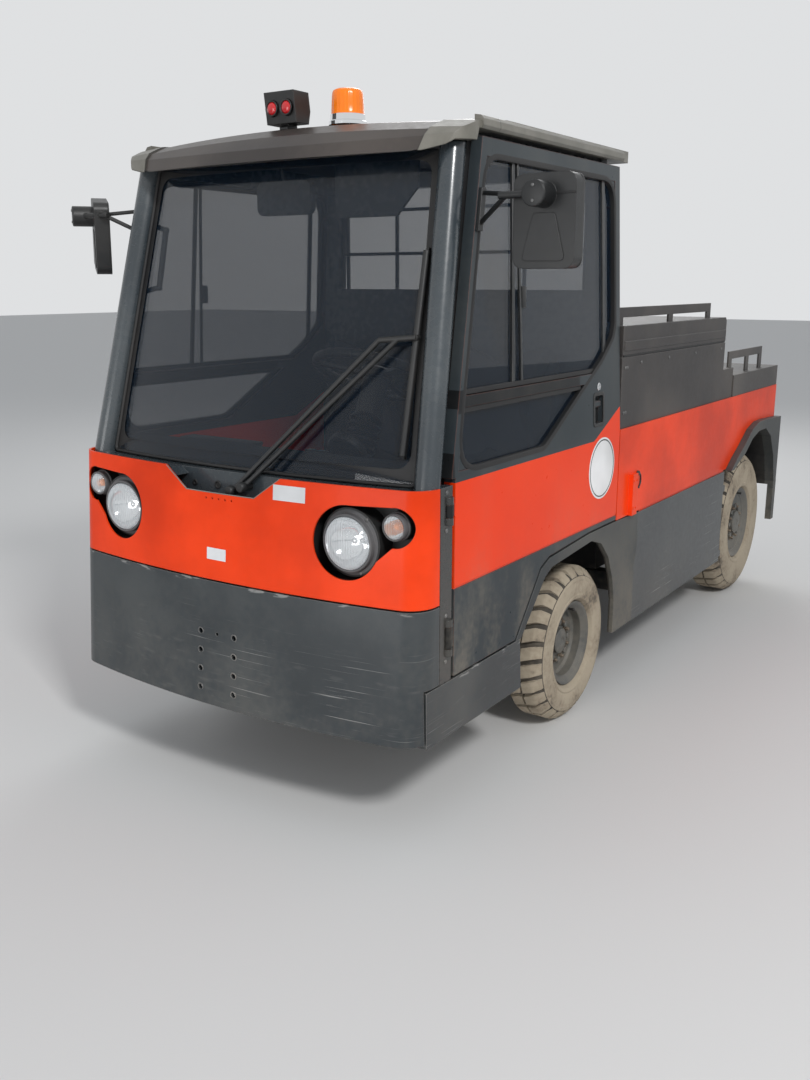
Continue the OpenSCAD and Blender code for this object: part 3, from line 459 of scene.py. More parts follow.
# Floor and dashboard: a grained dark floor covering over steel, and a moulded
# dashboard screwed across the cab under the windscreen.
cab_trim = weathered("cab_trim", (0.035, 0.038, 0.042), 0.6, dust=0.35, grain=0.8)
dress(cab_trim, "cab_floor", "dashboard")

# Glass: faintly tinted safety glass, bonded in front and behind, and sliding in the
# doors. It darkens and mirrors more when seen at a glance.
window_glass = Finish("window_glass", (0.006, 0.014, 0.026), Roughness=0.02, IOR=1.6)
glance = window_glass.node("LayerWeight", {}, {0: 0.35}, out=1)
window_glass.set(Alpha=glance * 0.5 + 0.3)
dress(window_glass, "windscreen", "rear_window", "door_glass_left", "door_glass_right")

# Windscreen surround: a black band printed on the glass, with a rubber cord that
# seals it all round.
RAKE = 204 / 832
black_rubber = weathered("black_rubber", (0.010, 0.010, 0.011), 0.55, dust=0.1, wear=0)


def on_glass(x, z, out=0.0):
    """Point on the windscreen at a side and height in millimetres."""
    return at(x, -973 + (z - 968) * RAKE + x * x / 6800 - out, z)


def rounded(points, radius, steps=6):
    """A closed line of 2-D points with its corners turned into arcs."""
    line = []
    count = len(points)
    for i, corner in enumerate(points):
        here = Vector(corner)
        back = Vector(points[i - 1]) - here
        on = Vector(points[(i + 1) % count]) - here
        half = back.angle(on) / 2
        reach = min(radius / math.tan(half), back.length * 0.48, on.length * 0.48)
        start = here + back.normalized() * reach
        end = here + on.normalized() * reach
        for k in range(steps + 1):
            t = k / steps
            line.append(start * (1 - t) ** 2 + here * 2 * t * (1 - t) + end * t ** 2)
    return line


def fine(line, step=60):
    """The same closed line with more points on its long sides."""
    out = []
    for a, b in zip(line, line[1:] + line[:1]):
        a, b = Vector(a), Vector(b)
        parts = max(1, round((b - a).length / step))
        out += [a.lerp(b, k / parts) for k in range(parts)]
    return out


def plate(mesh, outlines, lift, thick):
    """Adds a flat plate from 2-D outlines, the first outside and the rest holes.
    lift(u, v, depth) places a point; depth runs from 0 to thick."""
    loops = [[Vector((u, v, 0)) for u, v in line] for line in outlines]
    flat = [p for line in loops for p in line]
    top = [mesh.verts.new(lift(p.x, p.y, 0)) for p in flat]
    low = [mesh.verts.new(lift(p.x, p.y, thick)) for p in flat]
    for tri in tessellate_polygon(loops):
        mesh.faces.new([top[i] for i in tri])
        mesh.faces.new([low[i] for i in reversed(tri)])
    start = 0
    for line in loops:
        count = len(line)
        for i in range(count):
            a = start + i
            b = start + (i + 1) % count
            mesh.faces.new([top[a], top[b], low[b], low[a]])
        start += count


mesh = bmesh.new()
band_edge = rounded([(-570, 962), (570, 962), (516, 1826), (-516, 1826)], 12)
clear_glass = rounded([(-545, 1004), (545, 1004), (493, 1792), (-493, 1792)], 45)
plate(mesh, [fine(band_edge), fine(clear_glass)], lambda u, v, d: on_glass(u, v, 0.8 - d), 0.5)
piece("windscreen_black_band", mesh, black_rubber)
mesh = bmesh.new()
cord_line = rounded([(-568, 964), (568, 964), (514, 1824), (-514, 1824)], 14)
path = [on_glass(u, v, 4) for u, v in fine(cord_line)]
sweep(mesh, path, round_section(0.006, 10, 0.005), closed=True)
piece("windscreen_rubber_cord", mesh, black_rubber, smooth=60)

# Door seals: rubber strips inside the gap between each pillar and its door, fixed
# to the pillar so that the closed door presses against them.
SIDES = (("left", 1), ("right", -1))
seal_outline = [(-932, 960), (-884, 960), (-641, 1840), (-690, 1840)]
for side, sign in SIDES:
    mesh = bmesh.new()
    plate(mesh, [seal_outline], lambda u, v, d: at(sign * (593 - 0.05 * (v - 1300) + d * 1000), u, v), 0.003)
    piece(f"door_seal_{side}", mesh, black_rubber)

# Roof: one moulding in sun-faded brown-grey, with paler caps over the pillar heads
# and pale gutter rails, set in a dark joint.
roof_paint = weathered("brown_grey_roof", (0.045, 0.037, 0.034), 0.36, dust=0.2, wear=0.2, grain=0.2)
x, y, z = roof_paint.axes()
side = abs(x)
from_axle = y + 0.643
past_brow = side - (z - 1.70) * 0.2333 - 0.47
past_slant = side - (from_axle + 0.95) * 0.457 - 0.4
cap_edge = past_brow.least(past_slant).least(-0.6 - from_axle)
pale = roof_paint.ramp(cap_edge.most(side - 0.5895), -0.0004, 0.0004)
mottle = roof_paint.ramp(roof_paint.noise(11, 4), 0.35, 0.7)
moulded = roof_paint.mix((0.13, 0.125, 0.105), (0.19, 0.18, 0.155), mottle)
joint = roof_paint.ramp(abs(cap_edge), 0.0022, 0.0008)
capped = roof_paint.mix(roof_paint.paint, moulded, pale)
coloured = roof_paint.mix(capped, (0.01, 0.01, 0.01), joint * 0.8)
roof_paint.set(Base_Color=roof_paint.mix(coloured, DUST, roof_paint.settled))
dress(roof_paint, "roof")

# Battery hood, its lid and the tail deck: boxes folded from sheet steel, with bar
# rails welded on, in sun-faded brown-grey paint.
hood_paint = weathered("brown_grey_hood", (0.042, 0.037, 0.036), 0.5, dust=0.35, wear=0.4, grain=0.2)
dress(hood_paint, "hood", "hood_lid")
tail_paint = weathered("brown_grey_tail", (0.06, 0.054, 0.051), 0.5, dust=0.3, wear=0.4, grain=0.2)
dress(tail_paint, "tail_deck")

# Mudguards: sheet steel arches bolted to the sides, semi-matt blue-grey outside. Their
# inner faces are painted nearly black, partly dirt and partly painted shade of the wheel housing.
guard_paint = weathered("blue_grey_guard", (0.036, 0.042, 0.044), 0.5, dust=0.4, wear=0.4)
x, y, z = guard_paint.axes()
# Inner faces: a near-black that is partly painted shade of the wheel housing and partly dirt, with a little
# settled dust.
shaded_inside = guard_paint.ramp(abs(x), 0.6365, 0.6355)
shade_and_dust = guard_paint.mix((0.010, 0.010, 0.011), DUST, guard_paint.settled * 0.4)
dusty = guard_paint.mix(guard_paint.paint, DUST, guard_paint.settled)
guard_paint.set(Base_Color=guard_paint.mix(dusty, shade_and_dust, shaded_inside))
dress(guard_paint, "front_mudguards", "rear_mudguards")

# Bodies of the warning light and tail lamps: moulded in clear orange and red
# plastic, screwed to the roof and the tail.
dress(weathered("orange_lens", (0.95, 0.3, 0.01), 0.25, coat=0.4, dust=0.15, wear=0), "beacon")
dress(weathered("red_lens", (0.5, 0.01, 0.01), 0.2, coat=0.4, dust=0.15, wear=0), "rear_lamps")

# Headlamps: a chromed bowl with a bulb behind a fluted round glass, held by a clamp
# ring with three screws, and a small amber-bulbed indicator beside it.
chrome = Finish("lamp_chrome", (0.82, 0.83, 0.84), Metallic=1.0, Roughness=0.08)
chrome.bump(chrome.noise(70, 2), 0.0004, 0.3)
lamp_glass = Finish("lamp_glass", (0.8, 0.84, 0.86), Roughness=0.05, IOR=1.5)
lamp_glass.set(Alpha=lamp_glass.node("LayerWeight", {}, {0: 0.4}, out=1) * 0.6 + 0.2)
lamp_glass.bump((lamp_glass.axes()[0] * 760).sine(), 0.0008, 0.7)
ring_grey = weathered("grey_lamp_ring", (0.10, 0.10, 0.105), 0.5, dust=0.3, wear=0.3, grain=0.3)
amber = weathered("amber_bulb", (0.9, 0.24, 0.01), 0.2, coat=0.5, dust=0, wear=0)
bowl_profile = [(0.010, 0.004), (0.030, 0.009), (0.050, 0.024), (0.064, 0.044), (0.0715, 0.058),
                (0.0722, 0.062), (0.0722, 0.0615)]
small_bowl_profile = [(0.006, 0.003), (0.018, 0.009), (0.0285, 0.034), (0.0305, 0.040)]
bulb_profile = [(0, 0.002), (0.013, 0.004), (0.013, 0.020), (0.0095, 0.030), (0, 0.033)]
small_bulb_profile = [(0, 0.002), (0.011, 0.004), (0.0115, 0.022), (0.008, 0.031), (0, 0.034)]
glass_profile = [(0.0722, 0.056), (0.0722, 0.062), (0.069, 0.067), (0.056, 0.0725), (0.034, 0.0755),
                 (0, 0.0765)]
small_glass_profile = [(0.0308, 0.036), (0.0308, 0.041), (0.026, 0.046), (0.015, 0.0495), (0, 0.0505)]
ring_profile = [(0.0726, 0.044), (0.0726, 0.063), (0.0755, 0.0655), (0.079, 0.063), (0.0795, 0.047),
                (0.093, 0.0455), (0.093, 0.044)]
small_ring_profile = [(0.0312, 0.020), (0.0312, 0.042), (0.034, 0.0435), (0.036, 0.041), (0.036, 0.023),
                      (0.0395, 0.0215)]


def bolt_heads(mesh, places, radius, height, turn, sides=6):
    """Adds bolt heads with a chamfer, standing along the turned Z."""
    profile = [(0, -0.002), (radius, -0.002), (radius, height * 0.75), (radius * 0.86, height), (0, height)]
    for place in places:
        turned(mesh, profile, place, turn, sides)


for side, sign in SIDES:
    lamp = at(sign * 425, -977, 815)
    indicator = at(sign * 559, -977, 870)
    mesh = bmesh.new()
    turned(mesh, bowl_profile, lamp, AHEAD)
    turned(mesh, small_bowl_profile, indicator, AHEAD, 36)
    piece("headlamp_bowls_" + side, mesh, chrome, smooth=60, stands_for=["front_lenses"])
    mesh = bmesh.new()
    turned(mesh, bulb_profile, lamp, AHEAD, 24)
    piece("headlamp_bulb_" + side, mesh, chrome, smooth=60, stands_for=["front_lenses"])
    mesh = bmesh.new()
    turned(mesh, small_bulb_profile, indicator, AHEAD, 24)
    piece("indicator_bulb_" + side, mesh, amber, smooth=60, stands_for=["front_lenses"])
    mesh = bmesh.new()
    turned(mesh, glass_profile, lamp, AHEAD)
    turned(mesh, small_glass_profile, indicator, AHEAD, 36)
    piece("lamp_glasses_" + side, mesh, lamp_glass, smooth=60, stands_for=["front_lenses"])
    mesh = bmesh.new()
    turned(mesh, ring_profile, lamp, AHEAD)
    turned(mesh, small_ring_profile, indicator, AHEAD, 36)
    piece("lamp_clamp_rings_" + side, mesh, ring_grey, smooth=40)
    mesh = bmesh.new()
    on_ring = [lamp + Vector((0.086 * math.cos(a), -0.0455, 0.086 * math.sin(a))) for a in (0.9, 3.0, 5.1)]
    bolt_heads(mesh, on_ring, 0.0048, 0.003, AHEAD, 16)
    piece("lamp_ring_screws_" + side, mesh, steel_stud)

# Seats: foam pads covered in dark coated cloth, blown up by a cloth simulation from
# a slightly smaller shape, on the sprung bases and back shells. Each has a piped
# edge and a lap belt's buckle beside it.
seat_cloth = Finish("seat_cloth", (0.022, 0.023, 0.026), Roughness=0.75)
weave = seat_cloth.noise(420, 2, stretch=(1, 1, 0.25))
fade = seat_cloth.ramp(seat_cloth.noise(5, 3) + weave * 0.4, 0.4, 0.95)
seat_cloth.set(Base_Color=seat_cloth.mix((0.016, 0.017, 0.02), (0.045, 0.045, 0.046), fade))
seat_cloth.bump(weave, 0.0006, 0.7)
dress(seat_cloth, "seat_cushions", "seat_backs")
SEAT_LEAN = 12


def box(mesh, low, high, bevel=0.0):
    """Adds a box between two corners to a bmesh, with rounded edges if asked."""
    low, high = Vector(low), Vector(high)
    corners = bmesh.ops.create_cube(mesh, size=1)["verts"]
    for v in corners:
        v.co = Vector(v.co[i] * (high[i] - low[i]) for i in range(3))
    if bevel:
        edges = list({e for v in corners for e in v.link_edges})
        made = bmesh.ops.bevel(mesh, geom=edges, offset=bevel, segments=2, affect="EDGES", profile=0.5)
        corners = list({v for f in made["faces"] for v in f.verts} | {v for v in corners if v.is_valid})
    for v in corners:
        v.co = v.co + (low + high) / 2


def rectangle(left, low, right, high):
    """Corners of an upright rectangle."""
    return [(left, low), (right, low), (right, high), (left, high)]


def swollen(made, limit):
    """The pad's mesh after the cloth is blown up, kept inside its solid."""
    remesh = made.modifiers.new("even", "REMESH")
    remesh.mode = "VOXEL"
    remesh.voxel_size = 0.011
    cloth = made.modifiers.new("foam", "CLOTH")
    cloth.settings.use_pressure = True
    cloth.settings.uniform_pressure_force = 4
    cloth.settings.effector_weights.gravity = 0
    cloth.settings.tension_stiffness = 60
    cloth.settings.compression_stiffness = 60
    for tick in range(1, 21):
        scene.frame_set(tick)
    seen = made.evaluated_get(bpy.context.evaluated_depsgraph_get())
    mesh = bpy.data.meshes.new_from_object(seen)
    for v in mesh.vertices:
        v.co = Vector(max(-limit[i] + 0.0005, min(limit[i] - 0.0005, v.co[i])) for i in range(3))
    mesh.materials.clear()
    mesh.materials.append(seat_cloth.material)
    return mesh


def pad(name, middle, size, lean, stands_for, swell=7):
    """One cushion: a rounded block, inflated as cloth and leant back."""
    mesh = bmesh.new()
    half = Vector([length - 2 * swell for length in size]) / 2000
    box(mesh, -half, half, bevel=min(half) * 0.55)
    data = bpy.data.meshes.new(name)
    mesh.to_mesh(data)
    mesh.free()
    data.materials.append(seat_cloth.material)
    made = bpy.data.objects.new(name, data)
    scene.collection.objects.link(made)
    data = swollen(made, Vector(size) / 2000)
    made.modifiers.clear()
    made.data = data
    scene.frame_set(1)
    smooth = made.modifiers.new("smooth", "SUBSURF")
    smooth.levels = smooth.render_levels = 1
    made.data.transform(Matrix.Rotation(math.radians(-lean), 4, "X"))
    made.data.transform(Matrix.Translation(middle))
    for face in made.data.polygons:
        face.use_smooth = True
    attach(made, "chassis")
    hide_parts(stands_for)


for side, x0 in (("driver", 260), ("passenger", -290)):
    pad(f"seat_cushion_{side}", at(x0, -230, 805.3), (430, 388, 90), 0, "seat_cushions")
    hinge = Vector((x0, 36, 756))
    middle = hinge + Matrix.Rotation(-math.radians(SEAT_LEAN), 3, "X") @ Vector((0, -35.2, 300))
    pad(f"seat_back_{side}", at(*middle), (410, 69, 480), SEAT_LEAN, "seat_backs", swell=5)
    mesh = bmesh.new()
    piping = [at(x0 + u, -230 + v, 846) for u, v in rounded(rectangle(-190, -168, 190, 168), 45)]
    sweep(mesh, piping, round_section(0.003, 8), closed=True)
    piece(f"seat_piping_{side}", mesh, black_rubber, smooth=60)
    mesh = bmesh.new()
    box(mesh, at(x0 - 219, -120, 770), at(x0 - 206, -70, 850), bevel=0.004)
    piece(f"belt_buckle_{side}", mesh, black_plastic)

# Doors: hollow steel doors on two pins each, orange-red between a grey sill and a
# blue-grey window frame whose lower edge climbs towards the rear in a diagonal.
BELT = 985
TUMBLE = math.tan(math.radians(3))
AXLE = 0.643


def on_door(y, z, out=0.0, sign=1):
    """Point on a door's outer face, y from the front axle, in millimetres."""
    return at(sign * (650 - max(0, z - BELT) * TUMBLE + out), y, z)


door_paint = Finish("three_band_door_paint", Coat_Weight=0.05, Coat_Roughness=0.1, Specular_IOR_Level=0.18)
x, y, z = door_paint.axes()
cloud = door_paint.ramp(door_paint.noise(2.6, 5), 0.3, 0.7)
grain = door_paint.noise(46, 4)
streak = door_paint.noise(3.2, 5, stretch=(1, 2, 0.7))
soft, edge = door_paint.edges(0.004)
climb = ((y - (0.02 - AXLE)) * (0.084 / 0.19)).most(0.0).least(0.11)
frame_zone = (z - climb).over(0.972)
sill_zone = z.under(0.684)
hinge_zone = y.under(-0.8675 - AXLE)
crossbar = abs(z - 1.178).under(0.03) * abs(y + 1.108).under(0.375)
red = door_paint.mix((0.86, 0.042, 0.002), (0.94, 0.054, 0.004), cloud)
grey = door_paint.mix((0.031, 0.039, 0.044), (0.045, 0.054, 0.059), cloud)
banded = door_paint.mix(red, grey, frame_zone.most(sill_zone))
banded = door_paint.mix(banded, (0.012, 0.013, 0.014), hinge_zone.most(crossbar))
rubbed = door_paint.ramp(edge * 2.4 + grain * 0.5 - 0.32, 0.25, 0.55) * 0.45
worn = door_paint.mix(banded, (0.34, 0.1, 0.06), rubbed)
settled = door_paint.ramp(streak + grain * 0.3, 0.55, 0.95) * (door_paint.ramp(z, 0.85, 0.4) * 0.45 + 0.05)
door_paint.set(Base_Color=door_paint.mix(worn, DUST, settled))
door_paint.set(Roughness=settled * 0.4 + grain * 0.12 + 0.24)
door_paint.bump(door_paint.noise(9, 2) * 0.12, 0.0006, 0.6, soft)
dress(door_paint, "door_left", "door_right")

# Door windows: one rubber frame round the whole opening, and a sliding pair of
# panes in aluminium channels above a fixed pane, with a latch on the rear one.
channel = weathered("anodised_channel", (0.06, 0.063, 0.066), 0.35, dust=0.3, metallic=0.6)
rubber_section = [(-0.004, -0.012), (0.012, -0.012), (0.016, -0.004), (0.014, 0.004), (0.006, 0.007),
                  (-0.004, 0.005)]


def past_pillar(z, gap):
    """How far back the raked pillar stands at a height, and a gap behind it."""
    return -883 + gap + (z - BELT) * RAKE


def strip_section(half, low, high):
    """Section of a flat strip."""
    return rectangle(-half, low, half, high)


def block(mesh, middle, half, bevel=0.0):
    """Adds a box round a middle point."""
    box(mesh, middle - Vector(half), middle + Vector(half), bevel)


window = [(past_pillar(1000, 30), 1000), (-344, 1000), (86, 1233), (196, 1315), (196, 1800),
          (past_pillar(1800, 30), 1800)]
# Upright edges of the sliding panes: y at the foot and at the top, half width, depth
pane_edges = [(-520, -492, 0.007, -11), (-470, -470, 0.004, -9), (120, 120, 0.009, -11)]
for side, sign in SIDES:
    body = f"door_{side}_body"
    up = Vector((sign, 0, TUMBLE)).normalized()
    mesh = bmesh.new()
    opening = [rounded(window, 2, 2), fine(rounded(window, 85, 10), 80)]
    plate(mesh, opening, lambda u, v, d: on_door(u, v, -2 - d * 1000, sign), 0.028)
    piece(f"window_corners_{side}", mesh, door_paint, body)
    mesh = bmesh.new()
    path = [on_door(u, v, -5, sign) for u, v in fine(rounded(window, 88, 10), 80)]
    sweep(mesh, path, rubber_section, closed=True, up=up)
    piece(f"window_rubber_{side}", mesh, black_rubber, body, 40)
    mesh = bmesh.new()
    for low, end in ((1194, 192), (1148, -74)):
        start = past_pillar(low, 34)
        path = [on_door(start, low + 7, -10, sign), on_door(end, low + 7, -10, sign)]
        sweep(mesh, path, strip_section(0.007, -0.005, 0.006), up=up)
    piece(f"window_bar_channels_{side}", mesh, black_rubber, body, 30)
    mesh = bmesh.new()
    for low_y, top_y, half, out in pane_edges:
        path = [on_door(low_y, 1200, out, sign), on_door(top_y, 1796, out, sign)]
        sweep(mesh, path, strip_section(half, -0.003, 0.004), up=up)
    piece(f"sliding_pane_frames_{side}", mesh, channel, body, 30)
    mesh = bmesh.new()
    block(mesh, on_door(-452, 1440, -8, sign), (0.006, 0.012, 0.03), bevel=0.003)
    piece(f"sliding_pane_latch_{side}", mesh, black_plastic, body)

# Door handles: a black moulded cup and lever in a pocket of the door, screwed from
# behind, with a small chromed lock above.
LEFT = Matrix.Rotation(math.radians(90), 3, "Y")
lock_profile = [(0, 0.001), (0.011, 0.001), (0.013, 0.003), (0.011, 0.005), (0.004, 0.005),
                (0.004, 0.0035), (0, 0.0035)]


def outward(sign):
    """Turn of a local Z that points out of the left or right side."""
    return LEFT if sign > 0 else LEFT.transposed()


cup = rounded(rectangle(24, 1029, 90, 1119), 10)
for side, sign in SIDES:
    body = f"door_{side}_body"
    mesh = bmesh.new()
    cup_edge = rounded(rectangle(14, 1018, 100, 1130), 16)
    plate(mesh, [cup_edge, cup], lambda u, v, d: on_door(u, v, 2 - d * 1000, sign), 0.004)
    piece(f"handle_rim_{side}", mesh, black_plastic, body)
    mesh = bmesh.new()
    plate(mesh, [cup], lambda u, v, d: on_door(u, v, -18 - d * 1000, sign), 0.003)
    block(mesh, at(sign * 633, 57, 1091), (0.006, 0.026, 0.012), bevel=0.004)
    piece(f"handle_lever_{side}", mesh, black_plastic, body)
    mesh = bmesh.new()
    turned(mesh, lock_profile, on_door(58, 1148, -2, sign), outward(sign), 24)
    piece(f"door_lock_{side}", mesh, chrome, body)

# Speed sign on each door: a round white plastic sticker with a black ring, left
# blank inside.
disc_white = weathered("disc_white", (0.86, 0.86, 0.85), 0.35, dust=0.1, wear=0)
disc_black = weathered("disc_black", (0.012, 0.012, 0.014), 0.35, dust=0.1, wear=0)
disc_profile = [(0, 0.0009), (0.104, 0.0009), (0.104, 0.0)]
disc_ring = [(0.0935, 0.0012), (0.0975, 0.0012), (0.0975, 0.0009), (0.0935, 0.0009), (0.0935, 0.0012)]
for side, sign in SIDES:
    middle = on_door(93, 873, 0, sign)
    mesh = bmesh.new()
    turned(mesh, disc_profile, middle, outward(sign), 96)
    piece(f"blank_disc_{side}", mesh, disc_white, f"door_{side}_body")
    mesh = bmesh.new()
    turned(mesh, disc_ring, middle, outward(sign), 96)
    piece(f"disc_ring_{side}", mesh, disc_black, f"door_{side}_body")

# Hinge screws: dull steel cap screws above and below the two hinges of each door,
# which hold their leaves to the cab.
mesh = bmesh.new()
for sign in (1, -1):
    spots = [at(sign * 648, -905, z) for z in (852, 953, 491, 620)]
    bolt_heads(mesh, spots, 0.006, 0.002, outward(sign), 16)
piece("hinge_screws", mesh, steel_stud)

# Tyres: solid rubber industrial tyres pressed on the rims, with two staggered rows
# of square shoulder blocks, thick with tan dust and dark in the grooves.
tyre_rubber = Finish("dusty_rubber", (0.2, 0.175, 0.14))
caked = tyre_rubber.noise(7, 5)
grit = tyre_rubber.noise(70, 4)
soft, edge = tyre_rubber.edges(0.005)
bare_rubber = tyre_rubber.ramp(caked + grit * 0.4, 0.62, 0.42)
mud = tyre_rubber.ramp(caked + grit * 0.35, 0.4, 0.8)
tan = tyre_rubber.mix((0.25, 0.20, 0.145), (0.42, 0.355, 0.265), mud)
chipped = tyre_rubber.ramp(edge * 2.2 + grit * 0.3, 0.35, 0.7) * 0.5
tan = tyre_rubber.mix(tan, (0.50, 0.44, 0.35), chipped)
tyre_rubber.set(Base_Color=tyre_rubber.mix(tan, (0.09, 0.078, 0.064), bare_rubber * 0.85), Roughness=0.9)
tyre_rubber.bump(grit * 0.35 + caked * 0.6, 0.001, 0.5, soft)
tread_groove = weathered("tread_groove_rubber", (0.03, 0.027, 0.024), 0.9, dust=0.35, wear=0)


def tread_block(mesh, middle, r, half, start, wide, row):
    """One shoulder block from the tyre's middle over its shoulder."""
    # Each line: distance from the middle, outer radius, skew of the block's sides
    stations = [(0.004, r - 0.001, 0.36), (half - 0.040, r, 0.10), (half - 0.0325, r - 0.0025, 0.05),
                (half - 0.012, r - 0.0235, 0.0), (half - 0.003, r - 0.046, 0.0)]
    rings = []
    for across, top, skew in stations:
        on_shoulder = across > half - 0.03
        ring = []
        for depth in (0.0, 0.016):
            spread = across - (depth * 0.6 if on_shoulder else 0)
            reach = top - (depth * 0.55 if on_shoulder else depth)
            for end in (0, 1):
                a = start + wide * (end + skew * row)
                spot = Vector((row * spread, reach * math.cos(a), reach * math.sin(a)))
                ring.append(mesh.verts.new(middle + spot))
        rings.append(ring)
    for one, two in zip(rings, rings[1:]):
        for a, b in ((0, 1), (1, 3), (3, 2), (2, 0)):
            mesh.faces.new([one[a], one[b], two[b], two[a]])
    for ring in (rings[0], rings[-1]):
        mesh.faces.new([ring[0], ring[1], ring[3], ring[2]])


def tyre(name, body, middle, r, w, bead, blocks):
    """Carcass turned about the axle, with two staggered rows of shoulder blocks."""
    mesh = bmesh.new()
    half = w / 2
    floor_r = r - 0.014
    wall = [(bead, -half + 0.026), (bead + 0.009, -half + 0.026), (bead + 0.02, -half + 0.007),
            (bead + 0.032, -half + 0.0035), (bead + 0.036, -half + 0.006), (r - 0.066, -half + 0.0005),
            (r - 0.034, -half + 0.0065), (floor_r - 0.006, -half + 0.024), (floor_r, -half + 0.04)]
    profile = wall + [(a, -b) for a, b in reversed(wall)]
    profile.append(profile[0])
    turned(mesh, profile, middle, LEFT, 96)
    bmesh.ops.remove_doubles(mesh, verts=mesh.verts, dist=1e-5)
    carcass_faces = len(mesh.faces)
    pitch = 2 * math.pi / blocks
    for row in (-1, 1):
        for k in range(blocks):
            start = pitch * (k + (0.5 if row > 0 else 0))
            tread_block(mesh, middle, r, half, start, pitch * 0.70, row)
    made = piece(name.replace("tyre", "tread_tyre"), mesh, tyre_rubber, body, 30, stands_for=[name])
    made.data.materials.append(tread_groove.material)
    for face in made.data.polygons:
        arm = face.center - middle
        in_groove = r - 0.03 < math.hypot(arm.y, arm.z) < r - 0.0075
        on_carcass = face.index < carcass_faces and abs(arm.x) < half - 0.012
        face.material_index = 1 if in_groove and on_carcass else 0


for end, axle, r, w, bead, blocks in [
    ("front", 0, 0.270, 0.156, 0.1385, 27),
    ("rear", 1910, 0.336, 0.180, 0.1615, 31),
]:
    for side, sign in SIDES:
        middle = at(sign * (620 - w * 500), axle, r * 1000)
        tyre(f"tyre_{end}_{side}", f"wheel_{end}_{side}", middle, r, w, bead, blocks)

# Rims: pressed steel discs welded into their barrels, in grey paint, with a rolled
# lip, a hub cap, eight rusty nuts in dished seats and a rubber valve.
rim_paint = weathered("grey_rim_paint", (0.06, 0.066, 0.066), 0.42, dust=0.35, wear=0.6)
dress(rim_paint, "rim_front_left", "rim_front_right", "rim_rear_left", "rim_rear_right")
rusty_nut = weathered("rusty_nut", (0.12, 0.085, 0.06), 0.5, dust=0.5, metallic=0.6)
nut_seat = [(0.0155, 0), (0.0155, 0.0025), (0.0142, 0.0035), (0.0085, 0.0035), (0.0085, 0.0)]
nut_profile = [(0.006, 0.003), (0.006, 0.0145), (0.0045, 0.0165), (0, 0.0165)]
valve_profile = [(0.004, 0), (0.004, 0.014), (0.0052, 0.015), (0.0052, 0.022), (0.003, 0.024), (0, 0.024)]
for end, axle, r, rim_r, dish, spread in [
    ("front", 0, 0.270, 0.142, 0.070, 0.068),
    ("rear", 1910, 0.336, 0.165, 0.040, 0.078),
]:
    lip = [(rim_r - 0.012, -0.040), (rim_r - 0.012, -0.024), (rim_r - 0.006, -0.0185),
           (rim_r + 0.003, -0.0165), (rim_r + 0.006, -0.020), (rim_r + 0.004, -0.024),
           (rim_r - 0.002, -0.027)]
    cap = [(spread - 0.024, -dish + 0.004), (spread - 0.024, -dish + 0.016), (spread - 0.030, -dish + 0.019),
           (0.016, -dish + 0.021), (0.013, -dish + 0.018), (0, -dish + 0.018)]
    for side, sign in SIDES:
        turn = outward(sign)
        middle = at(sign * 620, axle, r * 1000)
        body = f"wheel_{end}_{side}"
        mesh = bmesh.new()
        turned(mesh, lip, middle, turn, 96)
        piece(f"rolled_lip_{end}_{side}", mesh, rim_paint, body, 50)
        mesh = bmesh.new()
        turned(mesh, cap, middle, turn, 48)
        piece(f"hub_cap_{end}_{side}", mesh, rim_paint, body, 40)
        mesh = bmesh.new()
        for k in range(8):
            a = math.pi / 4 * (k + 0.5)
            spot = middle + turn @ Vector((spread * math.cos(a), spread * math.sin(a), -dish))
            turned(mesh, nut_seat, spot, turn, 24)
            turned(mesh, nut_profile, spot, turn, 16)
        piece(f"wheel_studs_{end}_{side}", mesh, rusty_nut, body, 40)
        mesh = bmesh.new()
        turned(mesh, valve_profile, middle + Vector((-sign * 0.030, 0, rim_r - 0.020)), turn, 16)
        piece(f"valve_{end}_{side}", mesh, black_rubber, body, 40)

# Seam and screws of the hood: a black rubber strip under the lid's edge on three
# sides, and dull steel screws that hold the folded sides.
mesh = bmesh.new()
for start, end, out in [
    ((641, 256, 1236), (641, 1374, 1236), (1, 0, 0)),
    ((-641, 256, 1236), (-641, 1374, 1236), (-1, 0, 0)),
    ((-641, 1376, 1234), (641, 1376, 1234), (0, 1, 0)),
]:
    sweep(mesh, [at(*start), at(*end)], strip_section(0.003, -0.003, 0.003), up=Vector(out))
piece("lid_seam_rubber", mesh, black_rubber)
mesh = bmesh.new()
spots = [(y, z) for y in (275, 292) for z in (1040, 1195)] + [(y, 1206) for y in (420, 700, 1000, 1330)]
for sign in (1, -1):
    bolt_heads(mesh, [at(sign * 643.7, y, z) for y, z in spots], 0.006, 0.0022, outward(sign), 16)
piece("hood_screws", mesh, steel_stud)

# Catch of the hood: a sprung ring on a pin that pulls it shut, beside a red steel
# box with four screws.
mesh = bmesh.new()
turns = [2 * math.pi * i / 24 for i in range(24)]
ring = [at(656, 420 + 22 * math.cos(a), 782 + 26 * math.sin(a)) for a in turns]
sweep(mesh, ring, round_section(0.003, 8), closed=True)
turned(mesh, [(0.009, 0), (0.009, 0.007), (0.006, 0.0095), (0, 0.0095)], at(650, 420, 808), LEFT, 20)
turned(mesh, [(0.004, 0), (0.004, 0.011), (0, 0.011)], at(650, 420, 756), LEFT, 12)
piece("hood_catch_ring", mesh, black_plastic, smooth=60)
mesh = bmesh.new()
for sign in (1, -1):
    spots = [at(sign * 668, y, z) for y in (352, 377) for z in (690, 790)]
    bolt_heads(mesh, spots, 0.005, 0.0018, outward(sign), 16)
piece("catch_box_screws", mesh, red_enamel)

